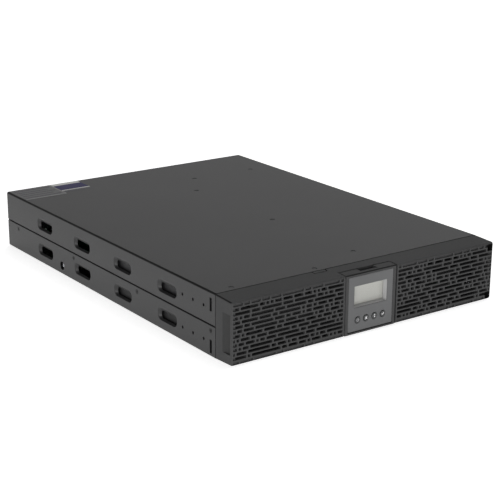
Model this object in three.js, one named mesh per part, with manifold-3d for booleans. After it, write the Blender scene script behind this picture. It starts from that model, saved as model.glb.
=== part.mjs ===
// A rack or tower uninterruptible power supply, two rack units high, lying flat.
// Millimetres. In the design frame X is right, Y runs back from the bezel's front face and Z is up.
// The exported group shifts it so that the origin is the middle of the footprint.
import * as THREE from "three";
import { mergeVertices } from "three/addons/utils/BufferGeometryUtils.js";
import Module from "manifold-3d";

const wasm = await Module();
wasm.setup();

// Outside
const WIDTH = 438;
const HEIGHT = 85.5;
const CHASSIS_FRONT = 35.8;
const CHASSIS_BACK = 607;
const REAR_REACH = 6; // how far the longest rear fitting stands past the chassis
const HALF = WIDTH / 2;
const MIDDLE = HEIGHT / 2;

// Sheet metal
const SHEET = 1.2;
const GAP = 0.3;
const BEND = 2; // outer bend radius
const SEAM = 41.6; // height of the groove between tray and cover
const SEAM_HALF = 0.5;
const FLANGE_FOOT = 31.4; // lower edge of the cover's inner flange

// Side wall features
const VENT = { length: 45, height: 17, depth: 4, floorLength: 33, floorHeight: 9 };
const VENT_FIRST = 145.8;
const VENT_PITCH = 112.5;
const VENT_COUNT = 4;
const VENT_HIGH = 61;
const VENT_LOW = 22;
const EAR_HOLE = 2; // radius
const EAR_FIRST = 61.4;
const EAR_PITCH = 24;
const EAR_COUNT = 3;
const EAR_HIGH = 63.7;
const EAR_LOW = 19.25;
const EAR_SLOT = { y: 45.5, width: 4.6, height: 17.6, high: 68.6, low: 13.6 };
const SCREW_FIRST = 45.5;
const SCREW_PITCH = 175.5;
const SCREW_COUNT = 4;
const SCREW_HEIGHT = 34.6;
const SERVICE_HOLE = { y: 432.5, z: 13.2, radius: 4.8 };
const BRACKET = -214; // outer face of the upright ear that the service screw bears on

// Bezel
const BEZEL_DEPTH = 35.5;
const BEZEL_TAPER = 1.5; // how much the front face is lower and higher than the back edge
const BEZEL_EDGE = 3; // edge radius
const GRILLE_PLATE = 3.8;
const ROW_PITCH = 5.75;
const ROW_COUNT = 14;
const ROW_MIDDLE = 42.3;
const SLOT_HEIGHT = 3.5;
const BRIDGE = 2.2;
const GRILLE_INNER = 46;
const GRILLE_OUTER = 217;
const OPEN_TO = 193; // the slots further out are blind
const BLIND_DEPTH = 2;
const GRIP = { front: 4, back: 19.9, low: 15.2, high: 66.9, depth: 4.5 }; // a ramp, deepest in front
const POCKET = { inner: 207.8, outer: 216.6, size: 8.6, low: 4, high: 72.6, depth: 3 };

// Slot lengths of each grille row from the module outwards, bottom row first.
const GRILLE_ROWS = [
  [44.5, 12.5, 29.5, 9.5, 32, 18.5, 8.5],
  [8, 4, 4, 10.5, 14, 4.5, 11, 14, 8, 43, 4, 19.5],
  [25.5, 9, 4, 6.5, 17, 8, 4, 13.5, 7, 33, 15, 3],
  [43, 14, 30.5, 15.5, 33.5, 9, 4, 6],
  [4, 4.5, 24.5, 17.5, 8.5, 33.5, 15.5, 7, 4, 13.5, 8.5, 6],
  [7, 9, 4.5, 24, 17.5, 8.5, 33, 15, 6.5, 13, 4, 3],
  [9.5, 4, 13.5, 7, 15.5, 32.5, 8, 17, 24.5, 4, 10.5],
  [4, 14, 5.5, 8.5, 4, 24, 16.5, 8.5, 32.5, 15, 7, 4],
  [3.5, 9, 4, 6.5, 17, 8.5, 4, 13.5, 7.5, 15, 33, 8.5, 14.5],
  [14.5, 7.5, 14, 5.5, 9, 4.5, 33, 8, 17.5, 24, 10.5],
  [10, 34, 9, 30.5, 15.5, 33.5, 9, 4, 7.5],
  [14.5, 7, 4.5, 9.5, 34, 15.5, 30.5, 13, 25.5],
  [25.5, 8.5, 4, 4.5, 11.5, 14.5, 14.5, 10.5, 4.5, 4.5, 7.5, 26.5, 9],
  [4.5, 24, 16.5, 9, 32, 14.5, 11.5, 13.5, 8, 14],
];
const JOINED_SLOT = 36; // neighbouring slots are joined into one until it is this long

// Display module
const MODULE_HALF = 42.2;
const MODULE_DEPTH = 15.3;
const NOTCH_HALF = 42.8;
const NECK_HALF = 36.2;
const NECK_END = 29;
const PLATE_HALF = 37.2;
const PLATE_FRONT = 0.6;
const PLATE_BACK = 2.4;
const WINDOW = { half: 27.5, low: 37.9, high: 66.7, depth: 8 };
const BUTTON_Z = 20.5;
const BUTTON_PITCH = 14.15;
const BUTTON_HOLE = 4.7;
const SCOOP = { half: 14, front: 2.6, floor: 9, depth: 5.6 };

// Battery pack: six 12 V 9 Ah blocks lying on their sides
const BLOCK = { width: 94, length: 151, height: 65 };
const PACK_LEFT = -211;
const PACK_FRONT = 44;
const PACK_PITCH_X = 100.5;
const PACK_PITCH_Y = 152;
const PACK_FLOOR = 2;
const TERMINAL = 5;

// Rear panel
const PANEL_FACE = CHASSIS_BACK - 0.5;
const FLANGE_BACK = PANEL_FACE + GAP; // inner face of a fitting's flange
const FAN_SIZE = 80;
const FAN_DEPTH = 25;
const FAN_BORE = 38;
const FAN_X = [171, 88];
const FAN_Z = 43.2;

// ---------------------------------------------------------------- helpers

// A closed geometry as a solid that can be joined and cut.
function solid(geometry) {
  const bare = geometry.index ? geometry.toNonIndexed() : geometry.clone();
  bare.deleteAttribute("normal");
  bare.deleteAttribute("uv");
  const merged = mergeVertices(bare, 1e-4);
  return new wasm.Manifold(
    new wasm.Mesh({
      numProp: 3,
      vertProperties: merged.attributes.position.array,
      triVerts: new Uint32Array(merged.index.array),
    }),
  );
}

function piece(name, shape, material) {
  const data = shape.getMesh();
  const geometry = new THREE.BufferGeometry();
  const position = new THREE.BufferAttribute(data.vertProperties, data.numProp);
  geometry.setAttribute("position", position);
  geometry.setIndex(new THREE.BufferAttribute(data.triVerts, 1));
  geometry.computeVertexNormals();
  const mesh = new THREE.Mesh(geometry, material);
  mesh.name = name;
  return mesh;
}

function finish(color, roughness, metalness = 0) {
  return new THREE.MeshStandardMaterial({ color, roughness, metalness });
}

function joined(parts) {
  return parts.reduce((whole, part) => whole.add(part));
}

function cut(body, tools) {
  return tools.reduce((rest, tool) => rest.subtract(tool), body);
}

function box(x0, x1, y0, y1, z0, z1) {
  const geometry = new THREE.BoxGeometry(x1 - x0, y1 - y0, z1 - z0);
  geometry.translate((x0 + x1) / 2, (y0 + y1) / 2, (z0 + z1) / 2);
  return solid(geometry);
}

const X = new THREE.Vector3(1, 0, 0);
const Y = new THREE.Vector3(0, 1, 0);
const Z = new THREE.Vector3(0, 0, 1);
const BASES = {
  x: new THREE.Matrix4().makeBasis(Y, Z, X), // shape in Y and Z
  y: new THREE.Matrix4().makeBasis(X, Z, Y.clone().negate()), // shape in X and Z
  z: new THREE.Matrix4().makeBasis(X, Y, Z), // shape in X and Y
};

// An outline pushed along an axis from one coordinate to another.
function prism(outline, axis, from, to, segments = 4) {
  const settings = { depth: to - from, bevelEnabled: false, curveSegments: segments };
  const geometry = new THREE.ExtrudeGeometry(outline, settings);
  if (axis === "y") geometry.translate(0, 0, -to);
  else geometry.translate(0, 0, from);
  return solid(geometry.applyMatrix4(BASES[axis]));
}

function polygon(points) {
  return new THREE.Shape(points.map(([u, v]) => new THREE.Vector2(u, v)));
}

function roundedRect(u0, u1, v0, v1, radius) {
  const shape = new THREE.Shape();
  shape.moveTo(u0 + radius, v0);
  shape.lineTo(u1 - radius, v0);
  shape.absarc(u1 - radius, v0 + radius, radius, -Math.PI / 2, 0);
  shape.lineTo(u1, v1 - radius);
  shape.absarc(u1 - radius, v1 - radius, radius, 0, Math.PI / 2);
  shape.lineTo(u0 + radius, v1);
  shape.absarc(u0 + radius, v1 - radius, radius, Math.PI / 2, Math.PI);
  shape.lineTo(u0, v0 + radius);
  shape.absarc(u0 + radius, v0 + radius, radius, Math.PI, 1.5 * Math.PI);
  return shape;
}

// A turned solid round an axis along Y: profile points are [radius, y].
function turned(profile, segments = 16) {
  const points = profile.map(([r, y]) => new THREE.Vector2(r, y));
  return solid(new THREE.LatheGeometry(points, segments));
}

function rod(x, z, radius, y0, y1, segments = 16) {
  const profile = [[0, y0], [radius, y0], [radius, y1], [0, y1]];
  return turned(profile, segments).translate(x, 0, z);
}

function post(x, y, radius, z0, z1, segments = 12) {
  const geometry = new THREE.CylinderGeometry(radius, radius, z1 - z0, segments);
  geometry.rotateX(Math.PI / 2);
  geometry.translate(x, y, (z0 + z1) / 2);
  return solid(geometry);
}

function crossRod(y, z, radius, x0, x1, segments = 12) {
  const geometry = new THREE.CylinderGeometry(radius, radius, x1 - x0, segments);
  geometry.rotateZ(Math.PI / 2);
  geometry.translate((x0 + x1) / 2, y, z);
  return solid(geometry);
}

function series(count, make) {
  return Array.from({ length: count }, (_, i) => make(i));
}

// ---------------------------------------------------------------- chassis

// A closed solid through two rings of equally many points, each end filled by a fan.
function frustum(first, last) {
  const count = first.length;
  const corners = [];
  for (let i = 0; i < count; i++) {
    const j = (i + 1) % count;
    corners.push(first[i], first[j], last[j]);
    corners.push(first[i], last[j], last[i]);
  }
  for (let i = 1; i + 1 < count; i++) {
    corners.push(first[0], first[i + 1], first[i]);
    corners.push(last[0], last[i], last[i + 1]);
  }
  return solid(new THREE.BufferGeometry().setFromPoints(corners));
}

// An outline with half-round ends, in the plane X = x, its long side along Y.
function obroundRing(x, length, height) {
  const steps = 5;
  const radius = height / 2;
  return [1, -1].flatMap((side) =>
    series(steps, (i) => {
      const angle = -Math.PI / 2 + (Math.PI * i) / (steps - 1);
      const y = length / 2 - radius + radius * Math.cos(angle);
      return new THREE.Vector3(x, side * y, side * radius * Math.sin(angle));
    }),
  );
}

// A pressed vent tapers inwards; grow gives its outer skin instead of the space inside.
function ventTaper(grow) {
  const wide = obroundRing(0, VENT.length + 2 * grow, VENT.height + 2 * grow);
  const narrow = obroundRing(VENT.depth, VENT.floorLength + 2 * grow, VENT.floorHeight + 2 * grow);
  return frustum(wide, narrow);
}

function ventHole() {
  const mouth = frustum(
    obroundRing(-1, VENT.length, VENT.height),
    obroundRing(0, VENT.length, VENT.height),
  );
  const throat = frustum(
    obroundRing(VENT.depth, VENT.floorLength, VENT.floorHeight),
    obroundRing(VENT.depth + 1, VENT.floorLength, VENT.floorHeight),
  );
  return joined([ventTaper(0), mouth, throat]);
}

// The same feature on the left wall and, mirrored, on the right one.
function bothSides(feature, places) {
  return places.flatMap(([y, z]) => {
    const left = feature.translate(-HALF, y, z);
    return [left, left.mirror([1, 0, 0])];
  });
}

function row(first, pitch, count, z) {
  return series(count, (i) => [first + i * pitch, z]);
}

const screwPlaces = row(SCREW_FIRST, SCREW_PITCH, SCREW_COUNT, SCREW_HEIGHT);

// Vents, rack-ear holes and slots, alike on the upper and the lower half of the side walls.
function addSideFeatures(shell, ventZ, earZ, slotZ) {
  const vents = row(VENT_FIRST, VENT_PITCH, VENT_COUNT, ventZ);
  const ears = row(EAR_FIRST, EAR_PITCH, EAR_COUNT, earZ);
  const collared = joined([shell, ...bothSides(ventTaper(SHEET), vents)]);
  const slot = box(-1, 3, -EAR_SLOT.width / 2, EAR_SLOT.width / 2,
    -EAR_SLOT.height / 2, EAR_SLOT.height / 2);
  return cut(collared, [
    ...bothSides(ventHole(), vents),
    ...bothSides(crossRod(0, 0, EAR_HOLE, -1, 3, 8), ears),
    ...bothSides(slot, [[EAR_SLOT.y, slotZ]]),
  ]);
}

// A quarter bend of the outer corner, from the flat face to the side wall.
function bendPoints() {
  return series(4, (i) => {
    const angle = (Math.PI / 2) * (i / 3);
    return [HALF - BEND + BEND * Math.sin(angle), BEND - BEND * Math.cos(angle)];
  });
}

// A section that is the same on both sides: the right half from the middle outwards and back.
function channel(rightHalf, from, to) {
  const leftHalf = rightHalf.map(([x, z]) => [-x, z]).reverse();
  return prism(polygon([...rightHalf, ...leftHalf]), "y", from, to);
}

// Lower shell: floor, the lower half of both side walls and an ear for the service screw.
function baseTray() {
  const top = SEAM - SEAM_HALF;
  const inner = HALF - SHEET;
  const section = [...bendPoints(), [HALF, top], [inner, top], [inner, SHEET]];
  const sheet = channel(section, CHASSIS_FRONT, CHASSIS_BACK);
  const tray = addSideFeatures(sheet, VENT_LOW, EAR_LOW, EAR_SLOT.low);
  const sink = [[0, -0.2], [3.3, -0.2], [3.3, 0.2], [1.9, 2], [0, 2]];
  const countersink = turned(sink, 12).rotate([0, 0, -90]);
  const { y, z, radius } = SERVICE_HOLE;
  const ear = box(BRACKET, BRACKET + SHEET, y - 17, y + 17, SHEET - 0.2, 26);
  return cut(tray.add(ear), [
    ...bothSides(countersink, screwPlaces),
    crossRod(y, z, radius, -HALF - 1, -HALF + 3),
    crossRod(y, z, 2.2, BRACKET - 1, BRACKET + 3, 8),
  ]);
}

// Upper shell: top and the upper half of both side walls, with a flange behind the tray's walls.
function topCover() {
  const foot = SEAM + SEAM_HALF;
  const inner = HALF - SHEET;
  const lip = inner - GAP;
  const bend = bendPoints().map(([x, z]) => [x, HEIGHT - z]);
  const wall = [
    [HALF, foot], [lip, foot], [lip, FLANGE_FOOT], [lip - SHEET, FLANGE_FOOT],
    [lip - SHEET, foot + SHEET], [inner, foot + SHEET], [inner, HEIGHT - SHEET],
  ];
  const section = [...bend, ...wall].reverse();
  const sheet = channel(section, CHASSIS_FRONT, CHASSIS_BACK);
  const cover = addSideFeatures(sheet, VENT_HIGH, EAR_HIGH, EAR_SLOT.high);
  const bare = 5.2; // the flange stops short of both end plates
  const ends = [[CHASSIS_FRONT - 1, CHASSIS_FRONT + bare], [CHASSIS_BACK - bare, CHASSIS_BACK + 1]];
  return cut(cover, [
    ...ends.map(([from, to]) => box(-inner, inner, from, to, FLANGE_FOOT - 1, foot + SHEET + 0.2)),
    ...bothSides(crossRod(0, 0, 1.8, 1.3, 4, 8), screwPlaces),
  ]);
}

// Plate behind the bezel with the battery bay's opening and the air slots beside it.
const FRAME_FRONT = 38;
const BAY = { left: -214.5, right: 93, high: 77 };
const LEAD = { x: 108, z: 40, half: 9 };
const FRAME_SCREW = { x: 211, z: 18 };

function frontFrame() {
  const plate = box(-HALF + 1.8, HALF - 1.8, FRAME_FRONT, FRAME_FRONT + SHEET, 1.7, HEIGHT - 1.7);
  const front = FRAME_FRONT - 1;
  const behind = FRAME_FRONT + 3;
  const bay = box(BAY.left, BAY.right, front, behind, 0, BAY.high);
  const slots = series(6, (i) => box(126, 192, front, behind, 12 + i * 11, 17 + i * 11));
  const side = LEAD.half + 1;
  const lead = box(LEAD.x - side, LEAD.x + side, front, behind, LEAD.z - 12, LEAD.z + 12);
  const screwHole = rod(FRAME_SCREW.x, FRAME_SCREW.z, 2.2, front, behind, 8);
  return cut(plate, [bay, lead, screwHole, ...slots]);
}

function batteryDoor() {
  const back = FRAME_FRONT - GAP;
  const plate = box(BAY.left - 2, BAY.right + 3, back - SHEET, back, 3, HEIGHT - 5);
  const slots = series(7, (i) => {
    const x = BAY.left + 20 + i * 40;
    return box(x, x + 28, back - 3, back + 1, 20, 24);
  });
  const high = slots.map((slot) => slot.translate(0, 0, 36));
  return cut(plate, [...slots, ...high]);
}

// ---------------------------------------------------------------- rear panel

const OUTLET_PITCH = 28;
const BANK = { x: -18, width: 114, height: 34, zs: [62, 25.5] };
const OUTLET_C19 = { x: -97, z: 62, width: 36, height: 34 };
const INLET = { x: -97, z: 23, width: 36, height: 34 };
const BREAKER = { x: -130, z: 22 };
const BATTERY_SOCKET = { x: -130, z: 58, width: 20, height: 44 };
const GROUND = { x: -147.5, z: 12 };
const SLOT_COVER = { x: -181.5, z: 60, width: 66, height: 40 };
const USB = { x: -160, z: 26 };
const SERIAL = { x: -195, z: 28 };
const SURGE = { x: -191, z: 12 };
const EPO = { x: -162, z: 11 };

function panelHole(place, width, height) {
  const { x, z } = place;
  return box(x - width / 2, x + width / 2, CHASSIS_BACK - 4, CHASSIS_BACK + 2,
    z - height / 2, z + height / 2);
}

function rearPanel() {
  const plate = box(-HALF + 1.8, HALF - 1.8, PANEL_FACE - SHEET, PANEL_FACE, 1.7, HEIGHT - 1.7);
  const rim = 6; // a flange covers this much more than its hole
  const windows = [
    ...BANK.zs.map((z) => panelHole({ x: BANK.x, z }, BANK.width - rim, BANK.height - rim)),
    panelHole(OUTLET_C19, OUTLET_C19.width - rim, OUTLET_C19.height - rim),
    panelHole(INLET, INLET.width - rim, INLET.height - rim),
    panelHole(BATTERY_SOCKET, BATTERY_SOCKET.width - 4, BATTERY_SOCKET.height - 4),
    panelHole(SLOT_COVER, SLOT_COVER.width - rim, SLOT_COVER.height - rim),
    panelHole(USB, 12.8, 11.8),
    panelHole(SERIAL, 19.6, 10),
    panelHole(SURGE, 32.8, 14.4),
    panelHole(EPO, 14.8, 9.6),
  ];
  const rounds = [
    rod(BREAKER.x, BREAKER.z, 6.4, CHASSIS_BACK - 4, CHASSIS_BACK + 2, 12),
    rod(GROUND.x, GROUND.z, 2.5, CHASSIS_BACK - 4, CHASSIS_BACK + 2, 8),
    ...FAN_X.map((x) => rod(x, FAN_Z, FAN_BORE, CHASSIS_BACK - 4, CHASSIS_BACK + 2, 24)),
  ];
  return cut(plate, [...windows, ...rounds]);
}

// Flange outside the panel and a body through it, centred on X = 0, Z = 0.
function fittingBlock(width, height, flange, depth, rim = 3.4) {
  const w = width / 2;
  const h = height / 2;
  const outside = box(-w, w, FLANGE_BACK, FLANGE_BACK + flange, -h, h);
  const inside = box(-w + rim, w - rim, FLANGE_BACK - depth, FLANGE_BACK + 0.1, -h + rim, h - rim);
  return outside.add(inside);
}

// Rectangle with its two lower corners cut off, as the outline of a three-pin outlet.
function plugOutline(width, height, chamfer) {
  const w = width / 2;
  const h = height / 2;
  return polygon([
    [-w + chamfer, -h], [w - chamfer, -h], [w, -h + chamfer], [w, h], [-w, h], [-w, -h + chamfer],
  ]);
}

// Trench round an island with three blade slots: what is cut from a block to make an outlet.
function outletSpace(width, height, chamfer, face, depth, blades) {
  const wall = 2.4;
  const outer = prism(plugOutline(width, height, chamfer), "y", face - depth, face + 1);
  const island = prism(
    plugOutline(width - 2 * wall, height - 2 * wall, chamfer - 0.7), "y", face - depth - 1, face + 2,
  );
  const slots = blades.map(([x, z, w, h]) =>
    box(x - w / 2, x + w / 2, face - depth + 2, face + 1, z - h / 2, z + h / 2),
  );
  return joined([outer.subtract(island), ...slots]);
}

function outletBank() {
  const face = FLANGE_BACK + 2;
  const block = fittingBlock(BANK.width, BANK.height, 2, 21);
  const blades = [[0, 2.6, 2, 4], [-5.5, -1.2, 2, 4], [5.5, -1.2, 2, 4]];
  const space = outletSpace(24.6, 17.6, 4.6, face, 16, blades);
  const places = series(4, (i) => (i - 1.5) * OUTLET_PITCH);
  return cut(block, places.map((x) => space.translate(x, 0, 0)));
}

function outletC19() {
  const face = FLANGE_BACK + 2;
  const block = fittingBlock(OUTLET_C19.width, OUTLET_C19.height, 2, 24);
  const blades = [[0, 4.4, 7, 2.2], [-6.5, -3.6, 7, 2.2], [6.5, -3.6, 7, 2.2]];
  return block.subtract(outletSpace(28.6, 21.6, 1.6, face, 19, blades));
}

// Mains inlet: an open well with three flat blades standing in it.
function acInlet() {
  const face = FLANGE_BACK + 2;
  const block = fittingBlock(INLET.width, INLET.height, 2, 26);
  const well = box(-13.6, 13.6, face - 20, face + 1, -10.2, 10.2);
  const blades = [[0, 4.4], [-6.5, -3.6], [6.5, -3.6]].map(([x, z]) =>
    box(x - 3.2, x + 3.2, face - 20.5, face - 4, z - 0.9, z + 0.9),
  );
  return joined([block.subtract(well), ...blades]);
}

const BREAKER_BORE = 3.6;
const BREAKER_FACE = 2.6; // how far the threaded neck stands out of the panel

function inputBreaker() {
  const back = PANEL_FACE - SHEET - GAP;
  const body = box(-8, 8, back - 30, back, -14, 14);
  const neck = rod(0, 0, 6, back - 0.1, PANEL_FACE + BREAKER_FACE, 12);
  const nut = rod(0, 0, 8, FLANGE_BACK, FLANGE_BACK + 1.6, 6);
  const bore = rod(0, 0, BREAKER_BORE, back - 8, PANEL_FACE + 4, 12);
  return joined([body, neck, nut]).subtract(bore);
}

function breakerButton() {
  const tip = CHASSIS_BACK + REAR_REACH;
  const profile = [[0, PANEL_FACE - 7], [3.2, PANEL_FACE - 7], [3.2, tip - 0.8], [2.4, tip], [0, tip]];
  return turned(profile, 12);
}

function batterySocket() {
  const face = FLANGE_BACK + 2;
  const block = fittingBlock(BATTERY_SOCKET.width, BATTERY_SOCKET.height, 2, 22, 2.4);
  const wells = [-9, 9].map((z) => box(-5, 5, face - 14, face + 1, z - 7, z + 7));
  return cut(block, wells);
}

function slotCover() {
  const w = SLOT_COVER.width / 2;
  const h = SLOT_COVER.height / 2;
  const plate = box(-w, w, FLANGE_BACK, FLANGE_BACK + 1, -h, h);
  const screws = [-w + 5, w - 5].map((x) => rod(x, 0, 3, FLANGE_BACK + 0.5, FLANGE_BACK + 2.4, 12));
  return joined([plate, ...screws]);
}

function usbPort() {
  const body = box(-6, 6, PANEL_FACE - 15, PANEL_FACE + 0.8, -5.5, 5.5);
  const well = box(-4.3, 4.3, PANEL_FACE - 8, PANEL_FACE + 2, -4, 4);
  const tongue = box(-2.8, 2.8, PANEL_FACE - 9, PANEL_FACE - 0.6, -1.6, 1.6);
  return body.subtract(well).add(tongue);
}

function serialPort() {
  const flange = box(-15.4, 15.4, FLANGE_BACK, FLANGE_BACK + 0.8, -6.2, 6.2);
  const shell = prism(polygon([[-8, -4.4], [8, -4.4], [9.2, 4.4], [-9.2, 4.4]]), "y",
    PANEL_FACE - 10, PANEL_FACE + 5.4);
  const well = prism(polygon([[-7.4, -3.8], [7.4, -3.8], [8.4, 3.8], [-8.4, 3.8]]), "y",
    PANEL_FACE + 0.4, PANEL_FACE + 7);
  return flange.add(shell).subtract(well);
}

function surgePorts() {
  const body = box(-16, 16, PANEL_FACE - 16, PANEL_FACE + 0.8, -6.8, 6.8);
  const wells = [-8, 8].map((x) =>
    box(x - 5.9, x + 5.9, PANEL_FACE - 12, PANEL_FACE + 2, -4.4, 4.4),
  );
  return cut(body, wells);
}

function epoTerminal() {
  const body = box(-7, 7, PANEL_FACE - 12, PANEL_FACE + 3, -4.4, 4.4);
  const wells = [-3.2, 3.2].map((x) =>
    box(x - 2.2, x + 2.2, PANEL_FACE - 3, PANEL_FACE + 4, -3, 3),
  );
  return cut(body, wells);
}

function groundScrew() {
  const head = FLANGE_BACK + 2.6;
  return turned([
    [0, PANEL_FACE - 8], [2, PANEL_FACE - 8], [2, FLANGE_BACK], [4.2, FLANGE_BACK], [4.2, head - 0.8],
    [3.2, head], [0, head],
  ], 12);
}

// ---------------------------------------------------------------- fans

function fanFrame() {
  const half = FAN_SIZE / 2;
  const shell = prism(roundedRect(-half, half, -half, half, 4), "y", 0, FAN_DEPTH, 2);
  const bore = rod(0, 0, FAN_BORE, -1, FAN_DEPTH + 1, 24);
  const struts = [45, 135].map((angle) =>
    box(-FAN_BORE - 0.5, FAN_BORE + 0.5, 0, 3, -2, 2).rotate([0, angle, 0]),
  );
  const holder = rod(0, 0, 17, 0, 3, 16);
  const shaft = rod(0, 0, 1.5, 2.9, 8, 8);
  const corner = half - 4.2;
  const holes = [[1, 1], [1, -1], [-1, 1], [-1, -1]].map(([sx, sz]) =>
    rod(sx * corner, sz * corner, 2.1, -1, FAN_DEPTH + 1, 8),
  );
  return cut(joined([shell.subtract(bore), ...struts, holder, shaft]), holes);
}

// Hub with seven tilted blades, open at the inner end round the shaft.
function fanRotor() {
  const hub = rod(0, 0, 16.5, 4, 21, 16).subtract(rod(0, 0, 2.2, 3, 9, 8));
  const blades = series(7, (i) => {
    const blade = box(12, 36.4, -0.9, 0.9, -9.5, 9.5).rotate([38, 0, 0]);
    return blade.translate(0, 12.6, 0).rotate([0, (i * 360) / 7, 0]);
  });
  return joined([hub, ...blades]);
}

// Wire guard: rings joined by four arms, and four eyes over the fan's corner holes.
function fanGuard() {
  const wire = 1.1;
  const middle = FLANGE_BACK + wire + 0.2;
  const rings = [14, 25, 36].map((radius) =>
    turned([
      [radius - wire, middle], [radius, middle - wire], [radius + wire, middle],
      [radius, middle + wire], [radius - wire, middle],
    ], 16),
  );
  const arms = [45, 135].map((angle) => {
    const arm = box(-52, 52, middle - 0.7, middle + 0.7, -0.9, 0.9);
    return arm.rotate([0, angle, 0]);
  });
  const corner = FAN_SIZE / 2 - 4.2;
  const eyes = [[1, 1], [1, -1], [-1, 1], [-1, -1]].map(([sx, sz]) =>
    rod(sx * corner, sz * corner, 3.6, middle - 0.9, middle + 0.9, 6),
  );
  return joined([...rings, ...arms, ...eyes]);
}

// ---------------------------------------------------------------- battery pack

function batteryTray() {
  const right = PACK_LEFT + 2 * PACK_PITCH_X + BLOCK.width + TERMINAL + 1.5;
  const left = PACK_LEFT - 1.5;
  const back = PACK_FRONT + PACK_PITCH_Y + BLOCK.length + 1.5;
  const front = PACK_FRONT - 1.8;
  const wall = 26;
  const floor = box(left, right, front, back, PACK_FLOOR, PACK_FLOOR + SHEET);
  const sides = [left, right - SHEET].map((x) =>
    box(x, x + SHEET, front, back, PACK_FLOOR, PACK_FLOOR + wall),
  );
  const rear = box(left, right, back - SHEET, back, PACK_FLOOR, PACK_FLOOR + wall);
  const lip = box(left, right, front, front + SHEET, PACK_FLOOR, PACK_FLOOR + 12);
  return joined([floor, ...sides, rear, lip]);
}

// One sealed block: ribbed lid end to the right, with its two blade terminals.
function batteryBlock() {
  const { width, length, height } = BLOCK;
  const body = prism(roundedRect(0, width - 6, 0, length, 2), "z", 0, height, 1);
  const lidOutline = roundedRect(width - 6.1, width, 1.5, length - 1.5, 1.5);
  const lid = prism(lidOutline, "z", 1.5, height - 1.5, 1);
  const tabs = [14, length - 14].map((y) => box(width - 0.1, width + TERMINAL, y - 3, y + 3, 12, 13));
  return joined([body, lid, ...tabs]);
}

function batteryConnector() {
  const body = box(-LEAD.half, LEAD.half, 29, 58, -11, 11);
  const wells = [-5.4, 5.4].map((z) => box(-6, 6, 28, 40, z - 4, z + 4));
  return cut(body, wells);
}

// ---------------------------------------------------------------- electronics

const BOARD_Z = 9;
const BOARD = 1.6;

function board(x0, x1, y0, y1) {
  const plate = box(x0, x1, y0, y1, BOARD_Z, BOARD_Z + BOARD);
  const inset = 8;
  const feet = [x0 + inset, x1 - inset].flatMap((x) =>
    [y0 + inset, y1 - inset].map((y) => post(x, y, 3, SHEET + GAP, BOARD_Z + 0.1, 6)),
  );
  return joined([plate, ...feet]);
}

const ON_BOARD = BOARD_Z + BOARD + GAP;

function heatsink(length, height) {
  const base = box(-2, 2, 0, length, 0, height);
  const fins = series(7, (i) => box(-20, 20, 0, length, 6 + i * 8.4, 7.6 + i * 8.4));
  return joined([base, ...fins]);
}

function inductor() {
  const profile = [
    [12, 3], [15, 0], [24, 0], [27, 3], [27, 19], [24, 22], [15, 22], [12, 19], [12, 3],
  ];
  return turned(profile, 16).rotate([90, 0, 0]).translate(0, 0, 22);
}

function capacitor() {
  const can = post(0, 0, 17, 0, 46, 16);
  const groove = post(0, 0, 19, 40, 41.4, 16).subtract(post(0, 0, 16.3, 39, 42, 16));
  return can.subtract(groove);
}

// Winding between the two legs of a ferrite core.
function transformer() {
  const core = box(-24, 24, -14, 14, 0, 42);
  const windows = [-1, 1].map((side) => box(side * 13 - 5, side * 13 + 5, -15, 15, 8, 34));
  const winding = box(-17.6, 17.6, -20, 20, 8.4, 33.6);
  const leg = box(-9, 9, -14, 14, 4, 38);
  return joined([cut(core, windows), winding, leg]);
}

// ---------------------------------------------------------------- bezel and display module

const BEZEL_BACK_LOW = 0.2;

// Side outline shared by the bezel and the display module: tapered, with rounded front edges.
function frontSideOutline(back) {
  const low = (y) => BEZEL_BACK_LOW + BEZEL_TAPER * (1 - y / BEZEL_DEPTH);
  const high = (y) => HEIGHT - low(y);
  const edge = series(4, (i) => {
    const angle = (Math.PI / 2) * (i / 3);
    return [BEZEL_EDGE * (1 - Math.sin(angle)), BEZEL_EDGE * (1 - Math.cos(angle))];
  });
  const bottom = edge.map(([y, drop]) => [y, low(BEZEL_EDGE) + drop]).reverse();
  const top = edge.map(([y, drop]) => [y, high(BEZEL_EDGE) - drop]);
  return polygon([[back, low(back)], [back, high(back)], ...top, ...bottom]);
}

function frontBlock(half, back) {
  return prism(frontSideOutline(back), "x", -half, half);
}

function bezelOutside() {
  const plan = new THREE.Shape();
  const turn = HALF - BEZEL_EDGE;
  plan.moveTo(-HALF, BEZEL_DEPTH + 1);
  plan.lineTo(-HALF, BEZEL_EDGE);
  plan.absarc(-turn, BEZEL_EDGE, BEZEL_EDGE, Math.PI, 1.5 * Math.PI);
  plan.lineTo(turn, 0);
  plan.absarc(turn, BEZEL_EDGE, BEZEL_EDGE, -Math.PI / 2, 0);
  plan.lineTo(HALF, BEZEL_DEPTH + 1);
  return frontBlock(HALF + 1, BEZEL_DEPTH).intersect(prism(plan, "z", -1, HEIGHT + 1));
}

// A row's slots without the small bridges between neighbours, so that each is a long one.
function withoutSmallBridges(lengths) {
  const long = [];
  let run = -BRIDGE;
  for (const length of lengths) {
    run += BRIDGE + length;
    if (run < JOINED_SLOT) continue;
    long.push(run);
    run = -BRIDGE;
  }
  return run > 0 ? [...long, run] : long;
}

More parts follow.
